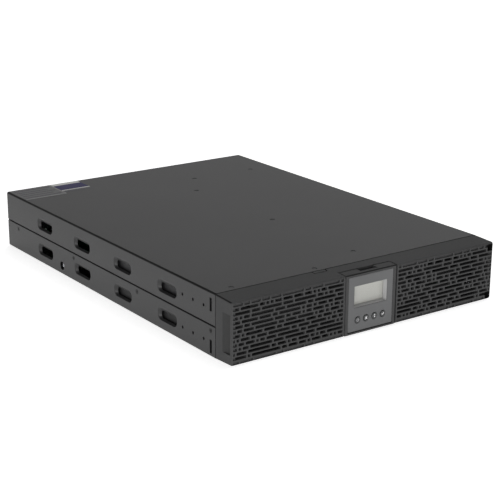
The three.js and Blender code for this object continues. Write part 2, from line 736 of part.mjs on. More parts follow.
// Slots of one row, from the display module outwards, on the right of the middle.
function rowSlots(pattern, index) {
  const lengths = withoutSmallBridges(pattern);
  const z = ROW_MIDDLE + (index - (ROW_COUNT - 1) / 2) * ROW_PITCH;
  const blindRow = index === 0 || index === ROW_COUNT - 1;
  const bridges = BRIDGE * (lengths.length - 1);
  const scale = (GRILLE_OUTER - GRILLE_INNER - bridges) / lengths.reduce((a, b) => a + b);
  let x = GRILLE_INNER;
  return lengths.flatMap((length) => {
    const [from, to] = [x, x + length * scale];
    x = to + BRIDGE;
    const slot = (a, b, depth) => box(a, b, -1, depth, z - SLOT_HEIGHT / 2, z + SLOT_HEIGHT / 2);
    const open = Math.min(to, OPEN_TO - 1);
    if (blindRow || from > open) return [slot(from, to, BLIND_DEPTH)];
    const parts = [slot(from, open, GRILLE_PLATE + 1)];
    return to > open ? [...parts, slot(open - 0.01, to, BLIND_DEPTH)] : parts;
  });
}

function frontBezel() {
  const low = 4.2;
  const high = HEIGHT - 4.2;
  const jaw = NOTCH_HALF + 2.2;
  const wallBack = MODULE_DEPTH + 2.6;
  const past = BEZEL_DEPTH + 1;
  const cavities = [
    box(jaw, OPEN_TO, GRILLE_PLATE, past, low, high),
    box(-OPEN_TO, -jaw, GRILLE_PLATE, past, low, high),
    box(-jaw - 1, jaw + 1, wallBack, past, low, high),
    box(OPEN_TO - 1, HALF - 2.2, 23, past, low, high),
    box(-HALF + 2.2, -OPEN_TO + 1, 23, past, low, high),
  ];
  const notch = box(-NOTCH_HALF, NOTCH_HALF, -1, MODULE_DEPTH + GAP, -1, HEIGHT + 1);
  const neck = NECK_HALF + 0.5;
  const opening = box(-neck, neck, 0, wallBack + 1, MIDDLE - neck, MIDDLE + neck);
  const slots = GRILLE_ROWS.flatMap(rowSlots);
  const wedge = polygon([
    [HALF - GRIP.depth, GRIP.front], [HALF + 1, GRIP.front], [HALF + 1, GRIP.back], [HALF, GRIP.back],
  ]);
  const grip = prism(wedge, "z", GRIP.low, GRIP.high);
  const pockets = [POCKET.low, POCKET.high].map((z) =>
    box(POCKET.inner, POCKET.outer, -1, POCKET.depth, z, z + POCKET.size),
  );
  return cut(bezelOutside(), [
    ...cavities, notch, opening, ...slots, ...slots.map((s) => s.mirror([1, 0, 0])),
    grip, grip.mirror([1, 0, 0]), ...pockets,
  ]);
}

// Finger scoop in the module's top or bottom: deep at the back, sloping up towards the front.
function scoop(side) {
  const surface = MIDDLE + side * (MIDDLE + 1);
  const floor = MIDDLE + side * (MIDDLE - 1 - SCOOP.depth);
  const outline = [
    [SCOOP.front, surface], [SCOOP.front, MIDDLE + side * (MIDDLE - 1.4)],
    [SCOOP.floor, floor], [MODULE_DEPTH + 1, floor], [MODULE_DEPTH + 1, surface],
  ];
  const ordered = side > 0 ? outline : [...outline].reverse();
  return prism(polygon(ordered), "x", -SCOOP.half, SCOOP.half);
}

function lcdHousing() {
  const outer = frontBlock(MODULE_HALF, MODULE_DEPTH);
  const neck = box(-NECK_HALF, NECK_HALF, MODULE_DEPTH - 0.1, NECK_END,
    MIDDLE - NECK_HALF, MIDDLE + NECK_HALF);
  const seat = PLATE_HALF + GAP;
  const frontSeat = box(-seat, seat, -1, PLATE_BACK + GAP, MIDDLE - seat, MIDDLE + seat);
  const inside = box(-34, 34, 0, NECK_END - 2, 9.4, HEIGHT - 9.4);
  const leadHole = box(-10, 10, NECK_END - 3, NECK_END + 1, 30, 38);
  return cut(outer.add(neck), [frontSeat, inside, leadHole, scoop(1), scoop(-1)]);
}

function lcdFaceplate() {
  const plate = box(-PLATE_HALF, PLATE_HALF, PLATE_FRONT, PLATE_BACK,
    MIDDLE - PLATE_HALF, MIDDLE + PLATE_HALF);
  const { half, low, high, depth } = WINDOW;
  const wall = 1.2;
  const collar = box(-half - wall, half + wall, PLATE_FRONT + 0.5, depth, low - wall, high + wall);
  const window = box(-half, half, -1, depth + 1, low, high);
  const holes = series(4, (i) => rod((i - 1.5) * BUTTON_PITCH, BUTTON_Z, BUTTON_HOLE, -1, 4, 16));
  return cut(plate.add(collar), [window, ...holes]);
}

function lcdPanel() {
  return box(-30.5, 30.5, WINDOW.depth + GAP, WINDOW.depth + 3.4, 35.2, 69.4);
}

// Circuit board with the four tact switches behind the buttons.
function lcdBoard() {
  const plate = box(-33, 33, 13.6, 15.2, 10.4, HEIGHT - 10.4);
  const switches = series(4, (i) => {
    const x = (i - 1.5) * BUTTON_PITCH;
    return box(x - 3.1, x + 3.1, 9.8, 13.7, BUTTON_Z - 3.1, BUTTON_Z + 3.1);
  });
  return joined([plate, ...switches]);
}

// Round cap with a flange that holds it behind the faceplate and a stem to its switch.
function button() {
  const flange = PLATE_BACK + 0.6;
  return turned([
    [0, 0.05], [3.7, 0.05], [4.2, 0.5], [4.2, flange], [5.6, flange], [5.6, flange + 1.2],
    [1.8, flange + 1.2], [1.8, 8.8], [0, 8.8],
  ], 14);
}

// ---------------------------------------------------------------- fasteners

// Countersunk screw through the tray wall into the cover's flange, its head flush outside.
function coverScrew() {
  const profile = [[0, 0.1], [2.9, 0.1], [1.5, 1.5], [1.5, 5], [0, 5]];
  return turned(profile, 10).rotate([0, 0, -90]);
}

const PAN_HEAD = 2.2;

function panScrew(radius, length) {
  const shank = radius * 0.45;
  return turned([
    [0, 0], [radius * 0.7, 0], [radius, 1], [radius, PAN_HEAD], [shank, PAN_HEAD],
    [shank, length], [0, length],
  ], 10);
}

// ---------------------------------------------------------------- assembly

const paint = () => finish(0x17181a, 0.5, 0.3);
const mouldedBlack = () => finish(0x131416, 0.6);
const blackSteel = () => finish(0x101011, 0.4, 0.8);
const socketBlack = () => finish(0x0c0c0d, 0.45);
const zinc = () => finish(0xb8bcc0, 0.3, 1);
const aluminium = () => finish(0xa9adb2, 0.35, 1);

function grouped(children, x = 0, y = 0, z = 0) {
  const group = new THREE.Group();
  group.add(...children);
  group.position.set(x, y, z);
  return group;
}

function chassis() {
  return grouped([
    piece("base_tray", baseTray(), paint()),
    piece("top_cover", topCover(), paint()),
    piece("front_frame", frontFrame(), paint()),
    piece("battery_door", batteryDoor(), paint()),
    piece("rear_panel", rearPanel(), paint()),
  ]);
}

function batteryPack() {
  const blocks = series(6, (i) => {
    const block = piece(`battery_${i + 1}`, batteryBlock(), finish(0x2c2e31, 0.55));
    const x = PACK_LEFT + (i % 3) * PACK_PITCH_X;
    const y = PACK_FRONT + Math.floor(i / 3) * PACK_PITCH_Y;
    block.position.set(x, y, PACK_FLOOR + SHEET + GAP);
    return block;
  });
  const connector = piece("battery_connector", batteryConnector(), finish(0x8e2020, 0.5));
  connector.position.set(LEAD.x, 0, LEAD.z);
  return grouped([piece("battery_tray", batteryTray(), zinc()), ...blocks, connector]);
}

function electronics() {
  const green = () => finish(0x1d5a35, 0.5);
  const parts = [
    ["main_board", board(-150, 208, 362, 572), green(), 0, 0, 0],
    ["charger_board", board(126, 210, 60, 340), green(), 0, 0, 0],
    ["heatsink_1", heatsink(150, 62), aluminium(), 70, 392, ON_BOARD],
    ["heatsink_2", heatsink(150, 62), aluminium(), 170, 392, ON_BOARD],
    ["inductor_1", inductor(), finish(0xa8642a, 0.4, 0.4), 5, 405, ON_BOARD],
    ["inductor_2", inductor(), finish(0xa8642a, 0.4, 0.4), 5, 470, ON_BOARD],
    ["dc_capacitor_1", capacitor(), finish(0x1c2d5c, 0.4), -50, 400, ON_BOARD],
    ["dc_capacitor_2", capacitor(), finish(0x1c2d5c, 0.4), -50, 445, ON_BOARD],
    ["transformer", transformer(), finish(0x4a4038, 0.6), -110, 420, ON_BOARD],
  ];
  return grouped(parts.map(([name, shape, material, x, y, z]) => {
    const made = piece(name, shape, material);
    made.position.set(x, y, z);
    return made;
  }));
}

function fan(index) {
  const back = PANEL_FACE - SHEET - GAP;
  const frame = piece(`fan_frame_${index + 1}`, fanFrame(), mouldedBlack());
  const rotor = piece(`fan_rotor_${index + 1}`, fanRotor(), mouldedBlack());
  const guard = piece(`fan_guard_${index + 1}`, fanGuard(), zinc());
  frame.position.y = back - FAN_DEPTH;
  rotor.position.y = back - FAN_DEPTH;
  return grouped([frame, rotor, guard], FAN_X[index], 0, FAN_Z);
}

function rearFittings() {
  const parts = [
    ["outlet_bank_1", outletBank(), socketBlack(), BANK.x, BANK.zs[0]],
    ["outlet_bank_2", outletBank(), socketBlack(), BANK.x, BANK.zs[1]],
    ["outlet_c19", outletC19(), socketBlack(), OUTLET_C19.x, OUTLET_C19.z],
    ["ac_inlet", acInlet(), socketBlack(), INLET.x, INLET.z],
    ["input_breaker", inputBreaker(), socketBlack(), BREAKER.x, BREAKER.z],
    ["input_breaker_button", breakerButton(), finish(0x8f1d1d, 0.4), BREAKER.x, BREAKER.z],
    ["battery_socket", batterySocket(), finish(0x2a2b2e, 0.5), BATTERY_SOCKET.x, BATTERY_SOCKET.z],
    ["slot_cover", slotCover(), paint(), SLOT_COVER.x, SLOT_COVER.z],
    ["usb_port", usbPort(), zinc(), USB.x, USB.z],
    ["serial_port", serialPort(), zinc(), SERIAL.x, SERIAL.z],
    ["surge_ports", surgePorts(), socketBlack(), SURGE.x, SURGE.z],
    ["epo_terminal", epoTerminal(), finish(0x2f7a45, 0.5), EPO.x, EPO.z],
    ["ground_screw", groundScrew(), zinc(), GROUND.x, GROUND.z],
  ];
  return grouped(parts.map(([name, shape, material, x, z]) => {
    const made = piece(name, shape, material);
    made.position.set(x, 0, z);
    return made;
  }));
}

function displayModule() {
  const names = ["power_button", "escape_button", "scroll_button", "enter_button"];
  const buttons = names.map((name, i) => {
    const made = piece(name, button(), finish(0x1a1b1d, 0.35));
    made.position.set((i - 1.5) * BUTTON_PITCH, 0, BUTTON_Z);
    return made;
  });
  return grouped([
    piece("lcd_housing", lcdHousing(), mouldedBlack()),
    piece("lcd_faceplate", lcdFaceplate(), finish(0x3a3b3d, 0.55)),
    piece("lcd_panel", lcdPanel(), finish(0xa3a49c, 0.3)),
    piece("lcd_board", lcdBoard(), finish(0x1d5a35, 0.5)),
    ...buttons,
  ]);
}

function coverScrews() {
  return grouped(screwPlaces.flatMap(([y, z], i) =>
    [["left", -1], ["right", 1]].map(([side, sign]) => {
      const screw = coverScrew();
      const facing = sign < 0 ? screw : screw.mirror([1, 0, 0]);
      const made = piece(`cover_screw_${side}_${i + 1}`, facing, blackSteel());
      made.position.set(sign * HALF, y, z);
      return made;
    }),
  ));
}

// Zinc screws: one in the tray's service hole, one on the plate behind the right grille.
function plainScrews() {
  const service = piece("service_screw", panScrew(3.6, 9).rotate([0, 0, -90]), zinc());
  service.position.set(BRACKET - PAN_HEAD - GAP, SERVICE_HOLE.y, SERVICE_HOLE.z);
  const frame = piece("frame_screw", panScrew(3.6, 8), zinc());
  frame.position.set(FRAME_SCREW.x, FRAME_FRONT - PAN_HEAD - GAP, FRAME_SCREW.z);
  return grouped([service, frame]);
}

const unit = grouped([
  chassis(), batteryPack(), electronics(), fan(0), fan(1), rearFittings(),
  piece("front_bezel", frontBezel(), mouldedBlack()), displayModule(), coverScrews(), plainScrews(),
]);
unit.position.y = -(CHASSIS_BACK + REAR_REACH) / 2;

export default new THREE.Group().add(unit);
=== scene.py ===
"""Looks of the uninterruptible power supply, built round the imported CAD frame. Metres, +Z up."""

import math

import bmesh
import bpy
from mathutils import Matrix, Vector


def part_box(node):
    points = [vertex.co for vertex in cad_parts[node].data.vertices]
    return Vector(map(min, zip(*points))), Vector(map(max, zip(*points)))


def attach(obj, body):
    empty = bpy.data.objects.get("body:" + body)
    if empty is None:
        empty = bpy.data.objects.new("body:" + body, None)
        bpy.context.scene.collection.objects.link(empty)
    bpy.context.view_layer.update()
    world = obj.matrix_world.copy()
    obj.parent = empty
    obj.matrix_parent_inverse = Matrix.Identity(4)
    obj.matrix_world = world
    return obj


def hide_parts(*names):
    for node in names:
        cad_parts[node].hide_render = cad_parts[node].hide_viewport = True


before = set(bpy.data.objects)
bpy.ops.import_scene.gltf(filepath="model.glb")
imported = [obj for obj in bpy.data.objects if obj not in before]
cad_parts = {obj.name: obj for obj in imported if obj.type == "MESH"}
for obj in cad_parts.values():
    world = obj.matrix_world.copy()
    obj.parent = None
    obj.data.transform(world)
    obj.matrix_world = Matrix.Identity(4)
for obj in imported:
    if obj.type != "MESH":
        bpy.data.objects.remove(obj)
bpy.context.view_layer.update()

# ------------------------------ places taken from the frame

# Meshes are drawn in millimetres with Y = 0 on the bezel's front face, and scaled when finished.
MM = 0.001
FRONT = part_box("front_bezel")[0].y
TO_FRAME = Matrix.Translation((0, FRONT, 0)) @ Matrix.Scale(MM, 4)


class Box:
    """A CAD node's box in drawing millimetres."""

    def __init__(self, node):
        low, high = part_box(node)
        self.x0, self.y0, self.z0 = low.x / MM, (low.y - FRONT) / MM, low.z / MM
        self.x1, self.y1, self.z1 = high.x / MM, (high.y - FRONT) / MM, high.z / MM
        self.x = (self.x0 + self.x1) / 2
        self.z = (self.z0 + self.z1) / 2


cover = Box("top_cover")
bezel = Box("front_bezel")
housing = Box("lcd_housing")
plate = Box("lcd_faceplate")
panel = Box("lcd_panel")

HALF = cover.x1
HEIGHT = cover.z1
MIDDLE = HEIGHT / 2
CHASSIS_FRONT = cover.y0
CHASSIS_BACK = cover.y1

# ------------------------------ camera, light and floor

CAMERA_OFFSET = Vector((-1.0824, -1.2381, 0.6290))  # from the middle of the bezel's foot
CAMERA_AZIMUTH = -35.690
CAMERA_ELEVATION = 17.587
CAMERA_ROLL = 0.411
CAMERA_LENS = 96.86
SENSOR = 36
VIEW_LEFT = (-0.906, 0.423, 0)  # level, square to the left edge of the camera's view
FLOOR_REACH = 14.0
FLOOR_LEVEL = -0.0004  # just under the tray


def add_camera():
    data = bpy.data.cameras.new("camera")
    data.lens = CAMERA_LENS
    data.sensor_width = SENSOR
    data.clip_end = 60
    camera = bpy.data.objects.new("camera", data)
    turn = Matrix.Rotation(math.radians(CAMERA_AZIMUTH), 4, "Z")
    tilt = Matrix.Rotation(math.radians(90 - CAMERA_ELEVATION), 4, "X")
    roll = Matrix.Rotation(math.radians(CAMERA_ROLL), 4, "Z")
    place = Matrix.Translation(Vector((0, FRONT, 0)) + CAMERA_OFFSET)
    camera.matrix_world = place @ turn @ tilt @ roll
    bpy.context.scene.collection.objects.link(camera)
    bpy.context.scene.camera = camera


def add_world(steps):
    """Pale wall round the studio that darkens upwards; steps are (height, level) from 0 to 1."""
    world = bpy.data.worlds.new("studio")
    world.use_nodes = True
    tree = world.node_tree
    coords = tree.nodes.new("ShaderNodeTexCoord")
    parts = tree.nodes.new("ShaderNodeSeparateXYZ")
    ramp = tree.nodes.new("ShaderNodeValToRGB")
    while len(ramp.color_ramp.elements) < len(steps):
        ramp.color_ramp.elements.new(1)
    for element, (height, level) in zip(ramp.color_ramp.elements, steps):
        element.position = height
        element.color = (level, level, level, 1)
    tree.links.new(coords.outputs["Generated"], parts.inputs["Vector"])
    tree.links.new(parts.outputs["Z"], ramp.inputs["Fac"])
    tree.links.new(ramp.outputs["Color"], tree.nodes["Background"].inputs["Color"])
    bpy.context.scene.world = world


def add_sun(name, strength, softness, azimuth, elevation):
    """A sun that stands at an azimuth, counted in degrees from -Y towards +X, and an elevation."""
    data = bpy.data.lights.new(name, "SUN")
    data.energy = strength
    data.angle = math.radians(softness)
    lamp = bpy.data.objects.new(name, data)
    turn = Matrix.Rotation(math.radians(azimuth), 4, "Z")
    tilt = Matrix.Rotation(math.radians(90 - elevation), 4, "X")
    lamp.matrix_world = turn @ tilt
    bpy.context.scene.collection.objects.link(lamp)


def add_area(name, power, size, place, target):
    data = bpy.data.lights.new(name, "AREA")
    data.shape = "RECTANGLE"
    data.size, data.size_y = size
    data.energy = power
    lamp = bpy.data.objects.new(name, data)
    lamp.location = place
    lamp.rotation_euler = (Vector(target) - Vector(place)).to_track_quat("-Z", "Y").to_euler()
    bpy.context.scene.collection.objects.link(lamp)


def add_floor(glow, dim_glow, side, start, end):
    """White floor that glows a little, less so beyond a distance to one side."""
    mesh = bpy.data.meshes.new("floor")
    turns = [(-1, -1), (1, -1), (1, 1), (-1, 1)]
    corners = [(u * FLOOR_REACH, v * FLOOR_REACH, FLOOR_LEVEL) for u, v in turns]
    mesh.from_pydata(corners, [], [(0, 1, 2, 3)])
    floor = bpy.data.objects.new("floor", mesh)
    material = bpy.data.materials.new("floor_white")
    material.use_nodes = True
    tree = material.node_tree
    shader = tree.nodes["Principled BSDF"]
    shader.inputs["Base Color"].default_value = (0.92, 0.92, 0.92, 1)
    shader.inputs["Roughness"].default_value = 0.9
    shader.inputs["Specular IOR Level"].default_value = 0.1
    shader.inputs["Emission Color"].default_value = (1, 1, 1, 1)
    coords = tree.nodes.new("ShaderNodeTexCoord")
    distance = tree.nodes.new("ShaderNodeVectorMath")
    distance.operation = "DOT_PRODUCT"
    distance.inputs[1].default_value = side
    fade = tree.nodes.new("ShaderNodeMapRange")
    fade.interpolation_type = "SMOOTHSTEP"
    fade.inputs["From Min"].default_value = start
    fade.inputs["From Max"].default_value = end
    fade.inputs["To Min"].default_value = glow
    fade.inputs["To Max"].default_value = dim_glow
    tree.links.new(coords.outputs["Object"], distance.inputs[0])
    tree.links.new(distance.outputs["Value"], fade.inputs["Value"])
    tree.links.new(fade.outputs["Result"], shader.inputs["Emission Strength"])
    mesh.materials.append(material)
    bpy.context.scene.collection.objects.link(floor)


add_camera()
add_world([(0.0, 0.92), (0.1, 0.88), (0.3, 0.76), (0.46, 0.12), (0.6, 0.05)])
add_sun("overhead", 1.1, 50, 115, 62)
add_area("front_card", 30, (1.6, 0.7), (-1.7, -2.2, 0.5), (0, -0.2, 0.0))
add_floor(0.74, 0.25, VIEW_LEFT, 0.3, 1.1)
bpy.context.scene.view_settings.view_transform = "Standard"

# ------------------------------ materials


def noise(tree, scale, detail, stretch=(1, 1, 1)):
    coords = tree.nodes.new("ShaderNodeTexCoord")
    mapping = tree.nodes.new("ShaderNodeMapping")
    mapping.inputs["Scale"].default_value = stretch
    texture = tree.nodes.new("ShaderNodeTexNoise")
    texture.inputs["Scale"].default_value = scale
    texture.inputs["Detail"].default_value = detail
    tree.links.new(coords.outputs["Object"], mapping.inputs["Vector"])
    tree.links.new(mapping.outputs["Vector"], texture.inputs["Vector"])
    return texture.outputs["Fac"]


def ranged(tree, value, low, high):
    node = tree.nodes.new("ShaderNodeMapRange")
    node.inputs["From Min"].default_value = 0.3
    node.inputs["From Max"].default_value = 0.7
    node.inputs["To Min"].default_value = low
    node.inputs["To Max"].default_value = high
    tree.links.new(value, node.inputs["Value"])
    return node.outputs["Result"]


def blended(tree, factor, first, second):
    node = tree.nodes.new("ShaderNodeMix")
    node.data_type = "RGBA"
    node.inputs["A"].default_value = (*first, 1)
    node.inputs["B"].default_value = (*second, 1)
    tree.links.new(factor, node.inputs["Factor"])
    return node.outputs["Result"]


def surface(name, color, rough, metallic=0.0, grain=1400.0, relief=0.1, tint=0.1,
            specular=0.5, patch=9.0, stretch=(1, 1, 1)):
    """Fine grain in the relief and gloss, broad soft patches in the colour."""
    material = bpy.data.materials.new(name)
    material.use_nodes = True
    tree = material.node_tree
    shader = tree.nodes["Principled BSDF"]
    fine = noise(tree, grain, 3, stretch)
    broad = noise(tree, patch, 2)
    dark = [c * (1 - tint) for c in color]
    light = [c * (1 + tint) for c in color]
    shade = blended(tree, ranged(tree, broad, 0, 1), dark, light)
    tree.links.new(shade, shader.inputs["Base Color"])
    tree.links.new(ranged(tree, fine, rough - 0.05, rough + 0.05), shader.inputs["Roughness"])
    bump = tree.nodes.new("ShaderNodeBump")
    bump.inputs["Strength"].default_value = relief
    bump.inputs["Distance"].default_value = 0.0002
    tree.links.new(fine, bump.inputs["Height"])
    tree.links.new(bump.outputs["Normal"], shader.inputs["Normal"])
    shader.inputs["Metallic"].default_value = metallic
    shader.inputs["Specular IOR Level"].default_value = specular
    return material


PAINT = surface("chassis_powder_coat", (0.02, 0.02, 0.0205), 0.46, grain=1100, relief=0.2, specular=0.4)
# Near-black, low-gloss paint on the bends of the cover and the tray: painted shade for the dark line
# along the bent edges.
PAINT_BEND_SHADE = surface("chassis_bend_painted_shade", (0.006, 0.006, 0.006), 0.5, grain=1100, specular=0.12)
BEZEL = surface("bezel_moulding", (0.031, 0.031, 0.0315), 0.75, grain=2200, relief=0.15)
# Near-black on the bezel's rounded top and bottom edges and on the display module's top front edge:
# painted shade.
BEZEL_BEND_SHADE = surface("bezel_corner_painted_shade", (0.008, 0.008, 0.008), 0.7, grain=2200, specular=0.15)
# Finger recess ramps: the coarser grain is the moulding's texture, the darker colour is painted shade in
# the recess.
BEZEL_GRIP_SHADE = surface("bezel_grip_painted_shade", (0.026, 0.026, 0.026), 0.8, grain=700, relief=0.4, specular=0.4)
FACEPLATE = surface("faceplate_moulding", (0.085, 0.086, 0.088), 0.5, grain=2600, relief=0.12)
LINER = surface("display_liner", (0.38, 0.38, 0.38), 0.45, grain=2600, relief=0.08)
DISPLAY = surface("display_glass", (0.365, 0.365, 0.34), 0.25, grain=3000, relief=0.02, tint=0.03)
BUTTON = surface("button_cap", (0.03, 0.031, 0.032), 0.4, grain=2400, relief=0.08)
ICON = surface("icon_print", (0.75, 0.75, 0.76), 0.5, grain=2400, relief=0.05, tint=0.04)
DIM_ICON = surface("dim_icon_print", (0.34, 0.34, 0.35), 0.5, grain=2400, relief=0.05, tint=0.04)
BLACK_STEEL = surface("black_oxide", (0.008, 0.008, 0.008), 0.5, specular=0.25)
ZINC = surface("zinc_plate", (0.62, 0.63, 0.65), 0.3, metallic=1.0, grain=500, relief=0.08)
BATTERY = surface("battery_abs", (0.012, 0.012, 0.013), 0.6)
# Near-black used only for the corner pocket sleeves, the seam strips and the sheet inside the right wall:
# painted shade.
SHADE_BLACK = surface("painted_shade_black", (0.004, 0.004, 0.004), 0.8, specular=0.15)
RED_PLASTIC = surface("red_housing", (0.42, 0.03, 0.03), 0.45)
BOARD = surface("solder_mask", (0.015, 0.11, 0.045), 0.35, grain=260, relief=0.3, tint=0.3, patch=60)
ANODISED = surface("heatsink_anodised", (0.035, 0.035, 0.037), 0.45, metallic=0.5,
                   grain=700, relief=0.15, stretch=(1, 0.03, 1))
COPPER = surface("enamelled_copper", (0.5, 0.2, 0.07), 0.3, metallic=0.8, grain=400, relief=0.5)
SLEEVE = surface("capacitor_sleeve", (0.02, 0.03, 0.12), 0.3)
FERRITE = surface("ferrite", (0.05, 0.045, 0.04), 0.6, relief=0.3)
FAN_PLASTIC = surface("fan_moulding", (0.018, 0.018, 0.019), 0.45, grain=1800, relief=0.12)
WIRE = surface("plated_wire", (0.7, 0.71, 0.73), 0.2, metallic=1.0, grain=600, relief=0.05)
SOCKET = surface("socket_moulding", (0.018, 0.018, 0.019), 0.4, grain=2000, relief=0.1)
GREEN = surface("terminal_moulding", (0.02, 0.28, 0.09), 0.4)
LABEL_GREY = surface("label_grey", (0.125, 0.125, 0.127), 0.6, grain=900, relief=0.03, tint=0.05)
LABEL_LINE = surface("label_line", (0.26, 0.26, 0.26), 0.65, grain=900, relief=0.03, tint=0.04)
LABEL_WHITE = surface("label_white", (0.62, 0.62, 0.60), 0.5, grain=900, relief=0.03, tint=0.04)
LABEL_BLUE = surface("label_blue", (0.02, 0.016, 0.085), 0.7, grain=900, relief=0.03, tint=0.1)
LABEL_DARK = surface("label_dark", (0.02, 0.02, 0.03), 0.45, grain=900, relief=0.03, tint=0.1)

# ------------------------------ mesh helpers


def shade(mesh, angle):
    """Smooth shading except across edges sharper than the angle."""
    mesh.polygons.foreach_set("use_smooth", [True] * len(mesh.polygons))
    mesh.set_sharp_from_angle(angle=math.radians(angle))


def mark_faces(bm, chosen, index=1):
    """Puts one of the piece's extra materials on the faces that the test (middle, normal) picks."""
    bm.normal_update()
    for face in bm.faces:
        if chosen(face.calc_center_median(), face.normal):
            face.material_index = index


def on_shaded_bend(reach):
    """Test for the bends along the top and bottom edges, up to a height from either, which take painted
    shade.
    """
    def chosen(middle, normal):
        slope = min(abs(normal.x), abs(normal.z))
        return min(middle.z, HEIGHT - middle.z) < reach and slope > 0.2 and abs(normal.y) < 0.3
    return chosen


def finish_piece(bm, name, material, body, replaced=(), smooth=30, extra=()):
    """Turns a bmesh in drawing millimetres into a piece that rides on a body."""
    bmesh.ops.recalc_face_normals(bm, faces=bm.faces)
    bmesh.ops.transform(bm, matrix=TO_FRAME, verts=bm.verts)
    mesh = bpy.data.meshes.new(name)
    bm.to_mesh(mesh)
    bm.free()
    piece = bpy.data.objects.new(name, mesh)
    bpy.context.scene.collection.objects.link(piece)
    for look in (material, *extra):
        mesh.materials.append(look)
    shade(mesh, smooth)
    weighted = piece.modifiers.new("normals", "WEIGHTED_NORMAL")
    weighted.weight = 100
    weighted.keep_sharp = True
    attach(piece, body)
    if replaced:
        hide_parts(*replaced)
    return piece


def loft(bm, rings):
    """Closed solid through rings of equally many points."""
    rows = [[bm.verts.new(p) for p in ring] for ring in rings]
    count = len(rows[0])
    for first, second in zip(rows, rows[1:]):
        for i in range(count):
            j = (i + 1) % count
            bm.faces.new((first[i], first[j], second[j], second[i]))
    bm.faces.new(rows[0][::-1])
    bm.faces.new(rows[-1])


def block(bm, x0, x1, y0, y1, z0, z1):
    corners = [(x0, y0), (x1, y0), (x1, y1), (x0, y1)]
    loft(bm, [at_z(corners, z0), at_z(corners, z1)])


def rounded_ring(u0, u1, v0, v1, radius, steps=4):
    """Rectangle with rounded corners as (u, v) points."""
    points = []
    corners = [(u1 - radius, v0 + radius, -90), (u1 - radius, v1 - radius, 0),
               (u0 + radius, v1 - radius, 90), (u0 + radius, v0 + radius, 180)]
    for cu, cv, start in corners:
        for i in range(steps + 1):
            angle = math.radians(start + 90 * i / steps)
            points.append((cu + radius * math.cos(angle), cv + radius * math.sin(angle)))
    return points


def circle(radius, steps=32):
    turns = [2 * math.pi * i / steps for i in range(steps)]
    return [(radius * math.cos(t), radius * math.sin(t)) for t in turns]


def moved(points, du, dv):
    return [(u + du, v + dv) for u, v in points]


def at_x(points, x):
    return [(x, u, v) for u, v in points]


def at_y(points, y):
    return [(u, y, v) for u, v in points]


def at_z(points, z):
    return [(u, v, z) for u, v in points]


def turned(bm, profile, x, z, steps=32):
    """Solid turned round an axis along Y; profile points are (radius, y), the ends closed."""
    loft(bm, [at_y(moved(circle(max(r, 0.01), steps), x, z), y) for r, y in profile])


def hoop(bm, radius, wire, x, y, z, steps=72, sides=10):
    """Wire ring round an axis along Y."""
    rows = []
    for i in range(steps):
        turn = 2 * math.pi * i / steps
        row = []
        for u, v in circle(wire, sides):
            reach = radius + u
            row.append(bm.verts.new((x + reach * math.cos(turn), y + v, z + reach * math.sin(turn))))
        rows.append(row)
    for i in range(steps):
        first, second = rows[i], rows[(i + 1) % steps]
        for j in range(sides):
            k = (j + 1) % sides
            bm.faces.new((first[j], first[k], second[k], second[j]))


def made_object(bm, name):
    bmesh.ops.recalc_face_normals(bm, faces=bm.faces)
    mesh = bpy.data.meshes.new(name)
    bm.to_mesh(mesh)
    bm.free()
    made = bpy.data.objects.new(name, mesh)
    bpy.context.scene.collection.objects.link(made)
    return made


def drop(made):
    mesh = made.data
    bpy.data.objects.remove(made)
    bpy.data.meshes.remove(mesh)


def combined(solid, operation, *makers):
    """Solid joined with, or cut by, what each maker draws; one maker's shapes don't touch each other."""
    body = made_object(solid, "solid")
    for make in makers:
        tool_mesh = bmesh.new()
        make(tool_mesh)
        tool = made_object(tool_mesh, "tool")
        modifier = body.modifiers.new("combine", "BOOLEAN")
        modifier.operation = operation
        modifier.solver = "MANIFOLD"
        modifier.object = tool
        graph = bpy.context.evaluated_depsgraph_get()
        result = bpy.data.meshes.new_from_object(body.evaluated_get(graph))
        body.modifiers.clear()
        old = body.data
        body.data = result
        bpy.data.meshes.remove(old)
        drop(tool)
    made = bmesh.new()
    made.from_mesh(body.data)
    drop(body)
    bmesh.ops.remove_doubles(made, verts=made.verts, dist=0.001)
    return made


def cut(solid, *makers):
    return combined(solid, "DIFFERENCE", *makers)


def join(solid, *makers):
    return combined(solid, "UNION", *makers)


def drawn(make):
    bm = bmesh.new()
    make(bm)
    return bm


# ------------------------------ bezel

BEZEL_FOOT = 0.2
BEZEL_TAPER = 1.5  # how much lower the front face is than the back edge, above and below
BEZEL_DEPTH = bezel.y1
BEZEL_WALL = 4.2  # thickness of the top and bottom
END_WALL = 2.2
EDGE = 3.0
EDGE_STEPS = 6
RIM = 0.35  # chamfer round every slot
GRILLE_PLATE = 3.8
ROW_PITCH = 5.75
ROW_MIDDLE = 42.3
SLOT_HALF = 1.75
SLOT_CORNER = 1.1
BRIDGE = 2.2
GRILLE_INNER = 46
GRILLE_OUTER = 217
OPEN_TO = 192  # further out the slots are blind
BLIND_DEPTH = 2.2
END_DEPTH = 8
END_TO = 212.6  # and beyond this the finger grips leave room for the shallow slots only
NOTCH_HALF = housing.x1 + 1.5
MODULE_DEPTH = 15.3
WALL_BACK = 17.9  # back of the wall behind the display module
JAW, BACK_JAW = 2.2, 1.4  # walls beside the module's notch, in front of and behind that wall

POCKET_INNER, POCKET_OUTER, POCKET_SIZE, POCKET_DEPTH = 207.6, 216.8, 9.8, 12
POCKET_ZS = (3.4, 72.2)

GRIP_FRONT, GRIP_BACK, GRIP_LOW, GRIP_HIGH, GRIP_DEPTH = 4.0, 19.9, 15.2, 66.9, 4.5

